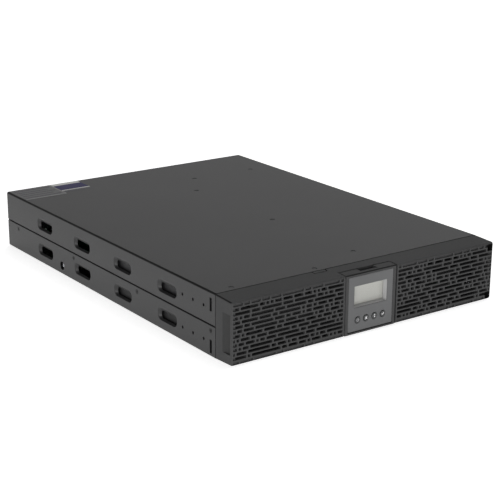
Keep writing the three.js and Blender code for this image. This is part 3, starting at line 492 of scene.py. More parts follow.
# Slot lengths of each grille row from the module outwards, top row first.
GRILLE_ROWS = [
    [4.5, 24, 16.5, 9, 32, 14.5, 11.5, 13.5, 8, 14],
    [25.5, 8.5, 4, 4.5, 11.5, 14.5, 14.5, 10.5, 4.5, 4.5, 7.5, 26.5, 9],
    [14.5, 7, 4.5, 9.5, 34, 15.5, 30.5, 13, 25.5],
    [10, 34, 9, 30.5, 15.5, 33.5, 9, 4, 7.5],
    [14.5, 7.5, 14, 5.5, 9, 4.5, 33, 8, 17.5, 24, 10.5],
    [3.5, 9, 4, 6.5, 17, 8.5, 4, 13.5, 7.5, 15, 33, 8.5, 14.5],
    [4, 14, 5.5, 8.5, 4, 24, 16.5, 8.5, 32.5, 15, 7, 4],
    [9.5, 4, 13.5, 7, 15.5, 32.5, 8, 17, 24.5, 4, 10.5],
    [7, 9, 4.5, 24, 17.5, 8.5, 33, 15, 6.5, 13, 4, 3],
    [4, 4.5, 24.5, 17.5, 8.5, 33.5, 15.5, 7, 4, 13.5, 8.5, 6],
    [43, 14, 30.5, 15.5, 33.5, 9, 4, 6],
    [25.5, 9, 4, 6.5, 17, 8, 4, 13.5, 7, 33, 15, 3],
    [8, 4, 4, 10.5, 14, 4.5, 11, 14, 8, 43, 4, 19.5],
    [44.5, 12.5, 29.5, 9.5, 32, 18.5, 8.5],
]


def bezel_section(half, y, inset, corner):
    """Cross-section of the bezel or the display module at depth y, lower and higher towards the back."""
    low = BEZEL_FOOT + BEZEL_TAPER * (1 - y / BEZEL_DEPTH) + inset
    ring = rounded_ring(-half + inset, half - inset, low, HEIGHT - low, corner)
    return at_y(ring, y)


def front_block(bm, half, back, edge, corner):
    """Block with a rounded front edge and a chamfered back edge."""
    rings = []
    for i in range(EDGE_STEPS + 1):
        angle = math.pi / 2 * i / EDGE_STEPS
        y, inset = edge * (1 - math.cos(angle)), edge * (1 - math.sin(angle))
        rings.append(bezel_section(half, y, inset, corner))
    rings.append(bezel_section(half, back - 1.1, 0, corner))
    rings.append(bezel_section(half, back - 0.4, 0.3, corner))
    rings.append(bezel_section(half, back, 1.0, corner))
    loft(bm, rings)


def slot_places():
    """(x0, x1, z, blind) of every slot on the right of the module."""
    places = []
    last = len(GRILLE_ROWS) - 1
    for index, lengths in enumerate(GRILLE_ROWS):
        z = ROW_MIDDLE + (last / 2 - index) * ROW_PITCH
        room = GRILLE_OUTER - GRILLE_INNER - BRIDGE * (len(lengths) - 1)
        scale = room / sum(lengths)
        x = GRILLE_INNER
        for length in lengths:
            places.append((x, x + length * scale, z, index in (0, last)))
            x += length * scale + BRIDGE
    return places


def slot_tool(bm, x0, x1, z, depth, rim):
    """Slot cut to a depth from the front; rim is the chamfer at its mouth."""
    def ring(y, grow):
        corner = min(SLOT_CORNER, (x1 - x0) / 2 - 0.05) + grow
        low, high = z - SLOT_HALF - grow, z + SLOT_HALF + grow
        return at_y(rounded_ring(x0 - grow, x1 + grow, low, high, corner, 3), y)

    if rim:
        loft(bm, [ring(-1, rim), ring(0, rim), ring(rim, 0), ring(depth, 0)])
    else:
        loft(bm, [ring(-1, 0), ring(depth, 0)])


def shallow_slots(bm):
    for x0, x1, z, _ in slot_places():
        slot_tool(bm, x0, x1, z, BLIND_DEPTH, RIM)
        slot_tool(bm, -x1, -x0, z, BLIND_DEPTH, RIM)


def deep_slots(bm):
    for x0, x1, z, blind in slot_places():
        reach = min(x1, END_TO)
        if blind or reach - x0 < 1:
            continue
        depth = END_DEPTH if x1 > OPEN_TO else GRILLE_PLATE + 1
        slot_tool(bm, x0, reach, z, depth, 0)
        slot_tool(bm, -reach, -x0, z, depth, 0)


def bezel_cavities(bm):
    """Space behind each grille; it steps back behind the blind slots and the finger recess."""
    inner, outer, end = NOTCH_HALF + JAW, OPEN_TO + 1, HALF - END_WALL
    step, ledge, past = END_DEPTH + 2, GRIP_BACK + 3, BEZEL_DEPTH + 1
    outline = [(inner, GRILLE_PLATE), (outer, GRILLE_PLATE), (outer, step), (END_TO, step),
               (END_TO, ledge), (end, ledge), (end, past), (inner, past)]
    for side in (1, -1):
        mirrored = [(side * x, y) for x, y in outline]
        loft(bm, [at_z(mirrored, BEZEL_WALL), at_z(mirrored, HEIGHT - BEZEL_WALL)])


def middle_cavity(bm):
    reach = NOTCH_HALF + BACK_JAW
    block(bm, -reach, reach, WALL_BACK, BEZEL_DEPTH + 1, BEZEL_WALL, HEIGHT - BEZEL_WALL)


def module_notch(bm):
    ring = rounded_ring(-NOTCH_HALF, NOTCH_HALF, -1, MODULE_DEPTH + 1.2, 0.6)
    loft(bm, [at_z(ring, -1), at_z(ring, HEIGHT + 1)])


def neck_opening(bm):
    reach = 36.7
    block(bm, -reach, reach, 1, WALL_BACK + 1, MIDDLE - reach, MIDDLE + reach)


def side_grips(bm):
    """Finger recess in both ends: a ramp that is deepest in front."""
    for side in (1, -1):
        floor = [(side * (HALF - GRIP_DEPTH), GRIP_FRONT), (side * (HALF + 1), GRIP_FRONT),
                 (side * (HALF + 1), GRIP_BACK), (side * HALF, GRIP_BACK)]
        loft(bm, [at_z(floor, GRIP_LOW), at_z(floor, GRIP_HIGH)])


def in_grip_shade(middle, normal):
    """Test for the ramp of a finger recess, whose darker material is painted shade."""
    deep = HALF - GRIP_DEPTH - 0.1 < abs(middle.x) < HALF - 0.1
    inside = GRIP_FRONT < middle.y < GRIP_BACK and GRIP_LOW < middle.z < GRIP_HIGH
    return deep and inside and abs(normal.x) > 0.9


def corner_pockets(bm):
    for z in POCKET_ZS:
        ring = rounded_ring(POCKET_INNER, POCKET_OUTER, z, z + POCKET_SIZE, 0.8)
        loft(bm, [at_y(ring, -1), at_y(ring, POCKET_DEPTH)])


def make_pocket_shade_liners():
    """Dark sleeves in the pockets at both right-hand corners: painted shade that makes the pockets read
    black.
    """
    def rings(bm, gap, front, back):
        for z in POCKET_ZS:
            ring = rounded_ring(POCKET_INNER + gap, POCKET_OUTER - gap,
                                z + gap, z + POCKET_SIZE - gap, 0.5)
            loft(bm, [at_y(ring, front), at_y(ring, back)])

    bm = cut(drawn(lambda bm: rings(bm, 0.1, 0.5, POCKET_DEPTH - 0.1)),
             lambda bm: rings(bm, 0.5, 0, POCKET_DEPTH - 0.6))
    finish_piece(bm, "pocket_shade_liners", SHADE_BLACK, "bezel", [])


def tongue_slit(bm):
    """Slit round the sprung tongue in the top that holds the bezel to the chassis."""
    x0, x1, slant, y0, y1, width, depth = -72, -48, 3, 27.7, 36.5, 1.4, 2.6
    outline = [(x0, y0), (x1 - slant, y0), (x1, y1), (x1 - width, y1), (x1 - slant - width, y0 + width),
               (x0 + width, y0 + width), (x0 + width, y1), (x0, y1)]
    loft(bm, [at_z(outline, HEIGHT - depth), at_z(outline, HEIGHT + 1)])


def make_bezel():
    outside = drawn(lambda bm: front_block(bm, HALF, BEZEL_DEPTH, EDGE, 2.4))
    bm = cut(outside, bezel_cavities, middle_cavity, module_notch, neck_opening, shallow_slots,
             deep_slots, side_grips, corner_pockets, tongue_slit)
    # The bezel's rounded top and bottom edges take the near-black corner material, which is painted
    # shade.
    mark_faces(bm, on_shaded_bend(BEZEL_WALL))
    # The finger recess ramps take the grip material, darker as painted shade.
    mark_faces(bm, in_grip_shade, 2)
    finish_piece(bm, "bezel_moulding", BEZEL, "bezel", ["front_bezel"],
                 extra=[BEZEL_BEND_SHADE, BEZEL_GRIP_SHADE])


make_bezel()
make_pocket_shade_liners()

# ------------------------------ display module

PLATE_HALF = plate.x1
PLATE_FRONT = plate.y0
PLATE_BACK = 2.4
MODULE_EDGE = 1.6
NECK_HALF = 36.2
HOLLOW_HALF, HOLLOW_FOOT, HOLLOW_BACK = 34, 9.4, housing.y1 - 2
LEAD_HALF, LEAD_LOW, LEAD_HIGH = 10, 30, 38  # hole in the back for the display's lead
WINDOW_HALF, WINDOW_LOW, WINDOW_HIGH = 27.5, 37.9, 66.7
BUTTONS = ["power_button", "escape_button", "scroll_button", "enter_button"]
BUTTON_HOLE = 4.7
SCOOP_HALF, SCOOP_FRONT, SCOOP_FLOOR, SCOOP_DEPTH = 14, 4.0, 10.8, 5.6


def scoop_tool(side):
    """Finger scoop in the module's top or bottom: a shallow ramp that drops off at the back."""
    def height(depth):
        return MIDDLE + side * (MIDDLE - 1.4 - depth)

    outside, ramp, floor = height(-2.4), height(1.9), height(SCOOP_DEPTH - 0.4)
    past = MODULE_DEPTH + 1
    outline = [(SCOOP_FRONT, outside), (SCOOP_FRONT, height(0)), (SCOOP_FLOOR, ramp),
               (SCOOP_FLOOR + 1, floor), (past, floor), (past, outside)]
    return lambda bm: loft(bm, [at_x(outline, -SCOOP_HALF), at_x(outline, SCOOP_HALF)])


def plate_ring(reach, corner):
    return rounded_ring(-reach, reach, MIDDLE - reach, MIDDLE + reach, corner)


def plate_seat(bm):
    """Recess for the faceplate, its rim stepped down from the module's front face."""
    seat = PLATE_HALF + 0.3
    loft(bm, [at_y(plate_ring(seat + 0.9, 1.6), -1), at_y(plate_ring(seat + 0.9, 1.6), 0.01),
              at_y(plate_ring(seat, 1.2), 0.8), at_y(plate_ring(seat, 1.2), PLATE_BACK + 0.3)])


def make_housing():
    def head(bm):
        front_block(bm, housing.x1, MODULE_DEPTH, MODULE_EDGE, 0.9)

    def neck(bm):
        block(bm, -NECK_HALF, NECK_HALF, MODULE_DEPTH - 0.5, housing.y1,
              MIDDLE - NECK_HALF, MIDDLE + NECK_HALF)

    def hollow(bm):
        block(bm, -HOLLOW_HALF, HOLLOW_HALF, 1, HOLLOW_BACK, HOLLOW_FOOT, HEIGHT - HOLLOW_FOOT)

    def lead_hole(bm):
        block(bm, -LEAD_HALF, LEAD_HALF, HOLLOW_BACK - 1, housing.y1 + 1, LEAD_LOW, LEAD_HIGH)

    # The module's rounded top front edge takes the bezel's near-black corner material, which is painted
    # shade.
    def on_shaded_top_edge(middle, normal):
        return middle.y < MODULE_EDGE and normal.z > 0.3 and normal.y < -0.15

    bm = cut(join(drawn(head), neck), plate_seat, hollow, lead_hole, scoop_tool(1), scoop_tool(-1))
    mark_faces(bm, on_shaded_top_edge)
    finish_piece(bm, "module_housing", BEZEL, "lcd_module", ["lcd_housing"],
                 extra=[BEZEL_BEND_SHADE])


def window_ring(grow):
    reach, low, high = WINDOW_HALF + grow, WINDOW_LOW - grow, WINDOW_HIGH + grow
    return rounded_ring(-reach, reach, low, high, 0.8)


def button_holes(bm):
    for name in BUTTONS:
        cap = Box(name)
        profile = [(BUTTON_HOLE + 0.4, -1), (BUTTON_HOLE + 0.4, PLATE_FRONT),
                   (BUTTON_HOLE, PLATE_FRONT + 0.4), (BUTTON_HOLE, 4)]
        turned(bm, profile, cap.x, cap.z, 40)


def make_faceplate():
    edge = 0.35

    def body(bm):
        loft(bm, [at_y(plate_ring(PLATE_HALF - edge, 1.0), PLATE_FRONT),
                  at_y(plate_ring(PLATE_HALF, 1.3), PLATE_FRONT + edge),
                  at_y(plate_ring(PLATE_HALF, 1.3), PLATE_BACK)])

    def window(bm):
        loft(bm, [at_y(window_ring(0.4), -1), at_y(window_ring(0.4), PLATE_FRONT),
                  at_y(window_ring(0), PLATE_FRONT + 0.4), at_y(window_ring(0), PLATE_BACK + 1)])

    bm = cut(drawn(body), window, button_holes)
    finish_piece(bm, "module_faceplate", FACEPLATE, "lcd_module", ["lcd_faceplate"])


def make_liner():
    """Pale frame whose walls slope in from the window to the display."""
    draft = 0.9
    front = PLATE_FRONT + 0.9

    def outer(bm):
        loft(bm, [at_y(window_ring(-0.05), front), at_y(window_ring(-0.05), PLATE_BACK),
                  at_y(window_ring(1.0), PLATE_BACK + 0.1), at_y(window_ring(1.0), panel.y0 - 0.3)])

    def inner(bm):
        loft(bm, [at_y(window_ring(-0.25), front - 1), at_y(window_ring(-0.25), front),
                  at_y(window_ring(-draft), panel.y0), at_y(window_ring(-draft), panel.y0 + 1)])

    bm = cut(drawn(outer), inner)
    finish_piece(bm, "display_liner", LINER, "lcd_module", [])


def make_display():
    """Glass of the display with a shallow step round the part that lights."""
    def ring(shrink, y):
        return at_y(rounded_ring(panel.x0 + shrink, panel.x1 - shrink, panel.z0 + shrink,
                                 panel.z1 - shrink, 0.6), y)

    front, step = panel.y0, panel.y0 + 0.25
    rings = [ring(4.6, front), ring(4.9, step), ring(0.3, step), ring(0, step + 0.25), ring(0, panel.y1)]
    bm = drawn(lambda bm: loft(bm, rings))
    finish_piece(bm, "display_panel", DISPLAY, "lcd_module", ["lcd_panel"])


def make_cap(name):
    """Round cap, slightly dished, with the flange and stem behind it."""
    cap = Box(name)
    profile = [(0.01, 0.32), (2.6, 0.3), (3.5, 0.1), (3.8, cap.y0), (4.05, 0.2), (4.2, 0.5), (4.2, 3.0),
               (5.6, 3.0), (5.6, 4.2), (1.8, 4.2), (1.8, cap.y1), (0.01, cap.y1)]
    bm = drawn(lambda bm: turned(bm, profile, cap.x, cap.z, 48))
    finish_piece(bm, name + "_cap", BUTTON, name, [name], 25)


def stroke(bm, points, width, x, z, y0=0.14, y1=0.45):
    """Raised line through a few points: one quad per stretch, mitred at the corners."""
    half = width / 2
    left, right = [], []
    for i, (u, v) in enumerate(points):
        before = points[max(i - 1, 0)]
        after = points[min(i + 1, len(points) - 1)]
        along = Vector((after[0] - before[0], after[1] - before[1])).normalized()
        left.append((x + u - along.y * half, z + v + along.x * half))
        right.append((x + u + along.y * half, z + v - along.x * half))
    outline = left + right[::-1]
    loft(bm, [at_y(outline, y0), at_y(outline, y1)])


def power_icon(bm, x, z):
    arc = [(1.7 * math.sin(math.radians(a)), 1.7 * math.cos(math.radians(a))) for a in range(35, 326, 24)]
    stroke(bm, arc, 0.7, x, z - 0.1)
    stroke(bm, [(0, 0.5), (0, 2.3)], 0.7, x, z - 0.1)


def cross_icon(bm, x, z):
    stroke(bm, [(-1.3, -1.6), (1.3, 1.6)], 0.9, x, z)
    stroke(bm, [(-1.3, 1.6), (1.3, -1.6)], 0.9, x, z, 0.13, 0.45)


def arrows_icon(bm, x, z):
    for side in (1, -1):
        outline = [(x - 1.2, z + side * 0.5), (x + 1.2, z + side * 0.5), (x, z + side * 2.2)]
        loft(bm, [at_y(outline, 0.14), at_y(outline, 0.45)])


def tick_icon(bm, x, z):
    stroke(bm, [(-1.7, 0.1), (-0.5, -1.2), (1.8, 1.3)], 0.95, x, z)


def make_buttons():
    icons = [power_icon, cross_icon, arrows_icon, tick_icon]
    prints = [DIM_ICON, ICON, ICON, ICON]
    for name, icon, ink in zip(BUTTONS, icons, prints):
        make_cap(name)
        cap = Box(name)
        bm = drawn(lambda bm: icon(bm, cap.x, cap.z))
        finish_piece(bm, name + "_icon", ink, name, [])


make_housing()
make_faceplate()
make_liner()
make_display()
make_buttons()

# ------------------------------ chassis shells

SHEET = 1.2
BEND = 2.6
BEND_STEPS = 7
SEAM_TOP = 42.5
SEAM_FOOT = 40.9
SEAM_CHAMFER = 0.9
FLANGE_FOOT = 31.4
FLANGE_BARE = 5.2  # the cover's inner flange stops short of both end plates
VENT_OUTER, VENT_INNER, VENT_DEPTH, VENT_STEPS = (47, 19.5), (39, 10.5), 4.0, 9
VENT_DROP = 2.4  # the inner opening sits this much lower than the mouth
VENT_EASE, VENT_EASE_DEPTH = 0.3, 0.15  # share of the slope, and of its depth, that rounds the rim
VENT_YS = [145.8 + 112.5 * k for k in range(4)]
VENT_HIGH, VENT_LOW = 61, 22
EAR_YS = [61.4, 85.4, 109.4]
EAR_HIGH, EAR_LOW, EAR_RADIUS = 63.7, 19.25, 2.0
EAR_SLOT_Y, EAR_SLOT_SIZE, EAR_SLOT_HIGH, EAR_SLOT_LOW = 45.5, (4.6, 17.6), 68.6, 13.6
SCREW_YS = [45.5 + 175.5 * k for k in range(4)]
SCREW_Z = 34.6
SERVICE_Y, SERVICE_Z, SERVICE_RADIUS = 432.5, 13.2, 6.2
BRACKET_X, BRACKET_HALF, BRACKET_TOP = -214, 17, 26  # ear inside the wall for the service screw
# Depths of the dark strips in the seam, which are painted shade.
SHADE_STRIP_DEPTHS = (1.45, 0.95)
# Dark sheet inside the right wall, painted shade: x0, x1, y0, y1, z0, z1.
SHADE_SHEET = (211.8, 212.2, 106, 296, 4, 80)
STUDS = [(65, 513), (27, 450), (175, 513), (29, 254.7), (29, 72.8), (-59, 44.5), (-189, 44.5)]
STUD_RADIUS = 2.7


def bend_points():
    """Outer corner of the sheet from its flat face round to the side wall."""
    points = []
    for i in range(BEND_STEPS + 1):
        angle = math.pi / 2 * i / BEND_STEPS
        points.append((HALF - BEND + BEND * math.sin(angle), BEND - BEND * math.cos(angle)))
    return points


def channel(bm, right_half, y0, y1):
    outline = right_half + [(-x, z) for x, z in right_half[::-1]]
    loft(bm, [at_y(outline, y0), at_y(outline, y1)])


def vent_rings(side, y, z, grow, from_depth=0.0):
    """Rings of a pressed vent from the wall inwards, rounded at the rim."""
    rings = []
    for i in range(VENT_STEPS + 1):
        t = i / VENT_STEPS
        if t < VENT_EASE:
            sunk = VENT_EASE_DEPTH * (t / VENT_EASE) ** 2
        else:
            sunk = VENT_EASE_DEPTH + (1 - VENT_EASE_DEPTH) * (t - VENT_EASE) / (1 - VENT_EASE)
        depth = from_depth + (VENT_DEPTH - from_depth) * sunk
        length = VENT_OUTER[0] + (VENT_INNER[0] - VENT_OUTER[0]) * t + 2 * grow
        height = VENT_OUTER[1] + (VENT_INNER[1] - VENT_OUTER[1]) * t + 2 * grow
        middle = z - VENT_DROP * t
        ring = rounded_ring(y - length / 2, y + length / 2, middle - height / 2, middle + height / 2,
                            height * 0.42, 6)
        rings.append(at_x(ring, side * (HALF - depth)))
    return rings


def vent_collars(zs):
    def make(bm):
        for side in (1, -1):
            for y in VENT_YS:
                loft(bm, vent_rings(side, y, zs, SHEET, 0.4))
    return make


def vent_holes(z):
    def make(bm):
        for side in (1, -1):
            for y in VENT_YS:
                rings = vent_rings(side, y, z, 0)
                outside = [(side * (HALF + 1), v, w) for _, v, w in rings[0]]
                inside = [(side * (HALF - VENT_DEPTH - 1), v, w) for _, v, w in rings[-1]]
                loft(bm, [outside] + rings + [inside])
    return make


def side_round(bm, side, y, z, radius, depth=3.0, steps=24, rim=0.25):
    """Round hole through a side wall with a small countersunk rim."""
    profile = [(radius + rim, -1), (radius + rim, 0), (radius, rim), (radius, depth)]
    loft(bm, [at_x(moved(circle(r, steps), y, z), side * (HALF - d)) for r, d in profile])


def ear_features(ear_z, slot_z):
    def make(bm):
        width, height = EAR_SLOT_SIZE
        for side in (1, -1):
            for y in EAR_YS:
                side_round(bm, side, y, ear_z, EAR_RADIUS)
            ring = rounded_ring(EAR_SLOT_Y - width / 2, EAR_SLOT_Y + width / 2,
                                slot_z - height / 2, slot_z + height / 2, 0.8)
            loft(bm, [at_x(ring, side * (HALF + 1)), at_x(ring, side * (HALF - 3))])
    return make


def make_cover():
    inner = HALF - SHEET
    lip = inner - 0.3
    top = [(x, HEIGHT - z) for x, z in bend_points()]
    wall = [(HALF, SEAM_TOP + SEAM_CHAMFER), (HALF - SEAM_CHAMFER, SEAM_TOP), (lip, SEAM_TOP),
            (lip, FLANGE_FOOT), (lip - SHEET, FLANGE_FOOT), (lip - SHEET, SEAM_TOP + SHEET),
            (inner, SEAM_TOP + SHEET), (inner, HEIGHT - SHEET)]
    section = (top + wall)[::-1]

    def flange_ends(bm):
        for y0, y1 in ((CHASSIS_FRONT - 1, CHASSIS_FRONT + FLANGE_BARE),
                       (CHASSIS_BACK - FLANGE_BARE, CHASSIS_BACK + 1)):
            block(bm, -inner, inner, y0, y1, FLANGE_FOOT - 1, SEAM_TOP + SHEET + 0.2)

    def stud_grooves(bm):
        for x, y in STUDS:
            ring = moved(circle(STUD_RADIUS + 0.8), x, y)
            loft(bm, [at_z(ring, HEIGHT - 1.0), at_z(ring, HEIGHT + 1)])

    def screw_bores(bm):
        for side in (1, -1):
            for y in SCREW_YS:
                ring = moved(circle(1.8, 16), y, SCREW_Z)
                loft(bm, [at_x(ring, side * (HALF - 1.3)), at_x(ring, side * (HALF - 4))])

    sheet = drawn(lambda bm: channel(bm, section, CHASSIS_FRONT, CHASSIS_BACK))
    bm = cut(join(sheet, vent_collars(VENT_HIGH)), vent_holes(VENT_HIGH),
             ear_features(EAR_HIGH, EAR_SLOT_HIGH), flange_ends, stud_grooves, screw_bores)
    # The bends take the near-black bend material, which is painted shade.
    mark_faces(bm, on_shaded_bend(BEND))
    finish_piece(bm, "cover_sheet", PAINT, "chassis", ["top_cover"], extra=[PAINT_BEND_SHADE])


def make_tray():
    inner = HALF - SHEET
    section = bend_points() + [(HALF, SEAM_FOOT - 0.2), (HALF - 0.2, SEAM_FOOT),
                               (inner, SEAM_FOOT), (inner, SHEET)]

    def bracket(bm):
        block(bm, BRACKET_X, BRACKET_X + SHEET, SERVICE_Y - BRACKET_HALF, SERVICE_Y + BRACKET_HALF,
              SHEET - 0.2, BRACKET_TOP)

    def countersinks(bm):
        for side in (1, -1):
            for y in SCREW_YS:
                profile = [(3.3, -0.5), (3.3, 0.1), (1.9, 1.6), (1.9, 2.4)]
                loft(bm, [at_x(moved(circle(r, 24), y, SCREW_Z), side * (HALF - d)) for r, d in profile])

    def service_hole(bm):
        side_round(bm, -1, SERVICE_Y, SERVICE_Z, SERVICE_RADIUS, steps=36)

    def bracket_hole(bm):
        ring = moved(circle(2.2, 16), SERVICE_Y, SERVICE_Z)
        loft(bm, [at_x(ring, BRACKET_X - 1), at_x(ring, BRACKET_X + 3)])

    sheet = drawn(lambda bm: channel(bm, section, CHASSIS_FRONT, CHASSIS_BACK))
    bm = cut(join(sheet, vent_collars(VENT_LOW), bracket), vent_holes(VENT_LOW),
             ear_features(EAR_LOW, EAR_SLOT_LOW), countersinks, service_hole, bracket_hole)
    # The bends take the near-black bend material, which is painted shade.
    mark_faces(bm, on_shaded_bend(BEND))
    finish_piece(bm, "tray_sheet", PAINT, "chassis", ["base_tray"], extra=[PAINT_BEND_SHADE])


def make_seam_shade_strips():
    """Dark strip at the bottom of the seam between the cover and the tray: painted shade in the seam."""
    bm = bmesh.new()
    for side in (1, -1):
        x0, x1 = sorted(side * (HALF - depth) for depth in SHADE_STRIP_DEPTHS)
        block(bm, x0, x1, CHASSIS_FRONT + 0.3, CHASSIS_BACK - 0.3, SEAM_FOOT + 0.05, SEAM_TOP - 0.05)
    finish_piece(bm, "seam_shade_strips", SHADE_BLACK, "chassis", [])


def make_shade_sheet():
    """Dark sheet inside the right wall, between the charger board and the front vents: painted shade that
    blocks the view out through those vents.
    """
    bm = drawn(lambda bm: block(bm, *SHADE_SHEET))
    finish_piece(bm, "painted_shade_sheet", SHADE_BLACK, "chassis", [])


def make_studs():
    """Press-fit studs that show as small flush discs in the cover."""
    bm = bmesh.new()
    profile = [(STUD_RADIUS, 0), (STUD_RADIUS, 0.6), (STUD_RADIUS - 0.3, 0.75), (0.01, 0.8)]
    for x, y in STUDS:
        loft(bm, [at_z(moved(circle(r), x, y), HEIGHT - 1.1 + h) for r, h in profile])
    finish_piece(bm, "cover_studs", PAINT, "chassis", [])


make_cover()
make_tray()
make_seam_shade_strips()
make_shade_sheet()
make_studs()

# ------------------------------ labels on the cover

LABEL_THICK = 0.12
LABEL_BACK = 606.4
RATING_X0, RATING_X1, RATING_Y0 = -215.5, -145.9, 546.7
COLOUR_X0, COLOUR_X1 = -145.3, -97.5
RULES, RULE_Y0, RULE_PITCH, RULE_WIDTH = 5, 555, 10, 3.4


def label(name, material, x0, x1, y0, y1, rise=0.0, corner=0.6):
    ring = rounded_ring(x0, x1, y0, y1, corner)
    low = HEIGHT + 0.01 + rise
    bm = drawn(lambda bm: loft(bm, [at_z(ring, low), at_z(ring, low + LABEL_THICK)]))
    finish_piece(bm, name, material, "chassis", [])


def make_labels():
    """Rating label and colour label: plain fields and rules, with nothing written on them."""
    label("rating_label", LABEL_GREY, RATING_X0, RATING_X1, RATING_Y0, LABEL_BACK, corner=1.0)
    label("rating_label_edge", LABEL_LINE, RATING_X1 - 2.5, RATING_X1 - 0.5,
          RATING_Y0 + 1, LABEL_BACK - 1, LABEL_THICK)
    label("rating_label_foot", LABEL_LINE, RATING_X0 + 0.5, RATING_X1 - 2.7,
          RATING_Y0 + 0.5, RATING_Y0 + 2.9, LABEL_THICK)
    for i in range(RULES):
        y = RULE_Y0 + i * RULE_PITCH
        label(f"rating_rule_{i + 1}", LABEL_DARK, -211, -152 - 8 * (i % 2), y, y + RULE_WIDTH,
              LABEL_THICK, 0.3)
    fields = [("white", LABEL_WHITE, 595.4, LABEL_BACK, 0.6), ("blue", LABEL_BLUE, 573.4, 595.2, 0.6),
              ("rule", LABEL_WHITE, 564.2, 567.4, 0.3), ("band", LABEL_BLUE, 567.6, 573.2, 0.3),
              ("foot", LABEL_DARK, 556, 564, 0.3)]
    for word, material, y0, y1, corner in fields:
        label("colour_label_" + word, material, COLOUR_X0, COLOUR_X1, y0, y1, corner=corner)


make_labels()

# ------------------------------ screws


def cross_recess(bm, radius, depth, place):
    """Two crossed bars as one outline, tapering inwards; place puts (u, v, depth) on the part."""
    def outline(scale):
        arm, half = radius * scale, radius * 0.24 * scale
        return [(half, half), (half, arm), (-half, arm), (-half, half), (-arm, half), (-arm, -half),
                (-half, -half), (-half, -arm), (half, -arm), (half, -half), (arm, -half), (arm, half)]

    loft(bm, [[place(u, v, -0.5) for u, v in outline(1)], [place(u, v, 0) for u, v in outline(1)],
              [place(u, v, depth) for u, v in outline(0.4)]])


def screw(name, node, profile, place, recess_radius, material):
    """Turned screw whose profile is (radius, depth) from the head inwards, with a cross recess."""
    def body(bm):
        loft(bm, [[place(u, v, d) for u, v in circle(max(r, 0.01), 32)] for r, d in profile])

    bm = cut(drawn(body), lambda bm: cross_recess(bm, recess_radius, 1.1, place))
    finish_piece(bm, name, material, "chassis", [node])


def make_side_screws():
    profile = [(0.01, 0.1), (2.9, 0.1), (1.5, 1.5), (1.5, 5), (0.01, 5)]
    for side, word in ((-1, "left"), (1, "right")):
        for i, y in enumerate(SCREW_YS):
            def place(u, v, d, side=side, y=y):
                return (side * (HALF - d), y + u, SCREW_Z + v)

            node = f"cover_screw_{word}_{i + 1}"
            screw(node + "_head", node, profile, place, 1.7, BLACK_STEEL)


def pan_profile(radius, length):
    """Head with a domed rim, then the shank."""
    return [(0.01, 0), (radius * 0.55, 0.08), (radius * 0.8, 0.35), (radius * 0.96, 0.9), (radius, 1.4),
            (radius, 2.2), (radius * 0.45, 2.2), (radius * 0.45, length), (0.01, length)]


def make_plain_screws():
    service = Box("service_screw")
    fixing = Box("frame_screw")

    def at_service(u, v, d):
        return (service.x0 + d, SERVICE_Y + u, SERVICE_Z + v)

    def at_fixing(u, v, d):
        return (fixing.x + u, fixing.y0 + d, fixing.z + v)

    screw("service_screw_head", "service_screw", pan_profile(4.6, 9), at_service, 2.4, ZINC)
    screw("frame_screw_head", "frame_screw", pan_profile(3.6, 8), at_fixing, 2.2, ZINC)


make_side_screws()
make_plain_screws()

# ------------------------------ fans

FAN_BORE = 38
FAN_CORNER = 35.8
BLADES = 7
BLADE_ROOT, BLADE_TIP = 16.0, 36.2  # radii
BLADE_FOOT, BLADE_RISE = 6.6, 12  # start from the frame's face, and length along the axis
BLADE_STATIONS, BLADE_CHORD = 6, 8
GUARD_WIRE, GUARD_RINGS, GUARD_EYE = 0.85, (9, 16, 23, 30, 37), 2.8


def fan_frame(index):
    """Square frame with flanges at both faces, a flared bore and four struts to the motor."""
    node = Box(f"fan_frame_{index}")
    x, z, y0, y1 = node.x, node.z, node.y0, node.y1
    half = (node.x1 - node.x0) / 2

    def outside(bm):
        shoulder = 3.4
        waist = half - 1.6
        steps = [(half - 0.4, y0, 4), (half, y0 + 0.4, 4.2), (half, y0 + shoulder, 4.2),
                 (waist, y0 + shoulder + 0.6, 3.6), (waist, y1 - shoulder - 0.6, 3.6),
                 (half, y1 - shoulder, 4.2), (half, y1 - 0.4, 4.2), (half - 0.4, y1, 4)]
        loft(bm, [at_y(rounded_ring(x - h, x + h, z - h, z + h, r, 6), y) for h, y, r in steps])

    def bore(bm):
        profile = [(FAN_BORE + 1.1, y0 - 1), (FAN_BORE + 1.1, y0), (FAN_BORE, y0 + 2.4),
                   (FAN_BORE, y1 - 2.4), (FAN_BORE + 1.1, y1), (FAN_BORE + 1.1, y1 + 1)]
        turned(bm, profile, x, z, 72)

    def corner_holes(bm):
        for sx in (1, -1):
            for sz in (1, -1):
                turned(bm, [(2.1, y0 - 1), (2.1, y1 + 1)], x + sx * FAN_CORNER, z + sz * FAN_CORNER, 20)

    def strut(angle):
        def make(bm):
            turn = math.radians(angle)
            along = Vector((math.cos(turn), math.sin(turn)))
            side = Vector((-along.y, along.x))
            reach, wide = FAN_BORE + 0.8, 2.0
            ring = [along * reach + side * wide, along * -reach + side * wide,
                    along * -reach - side * wide, along * reach - side * wide]
            points = [(x + p.x, z + p.y) for p in ring]
            loft(bm, [at_y(points, y0 + 0.1), at_y(points, y0 + 2.9)])
        return make

    def motor_seat(bm):
        profile = [(16.6, 0.05), (17, 0.4), (17, 3), (1.5, 3), (1.5, 8)]
        turned(bm, [(r, y0 + y) for r, y in profile], x, z, 48)

    bm = join(cut(drawn(outside), bore, corner_holes), strut(45), strut(135), motor_seat)
    finish_piece(bm, f"fan_frame_{index}_moulding", FAN_PLASTIC, "chassis",
                 [f"fan_frame_{index}"])


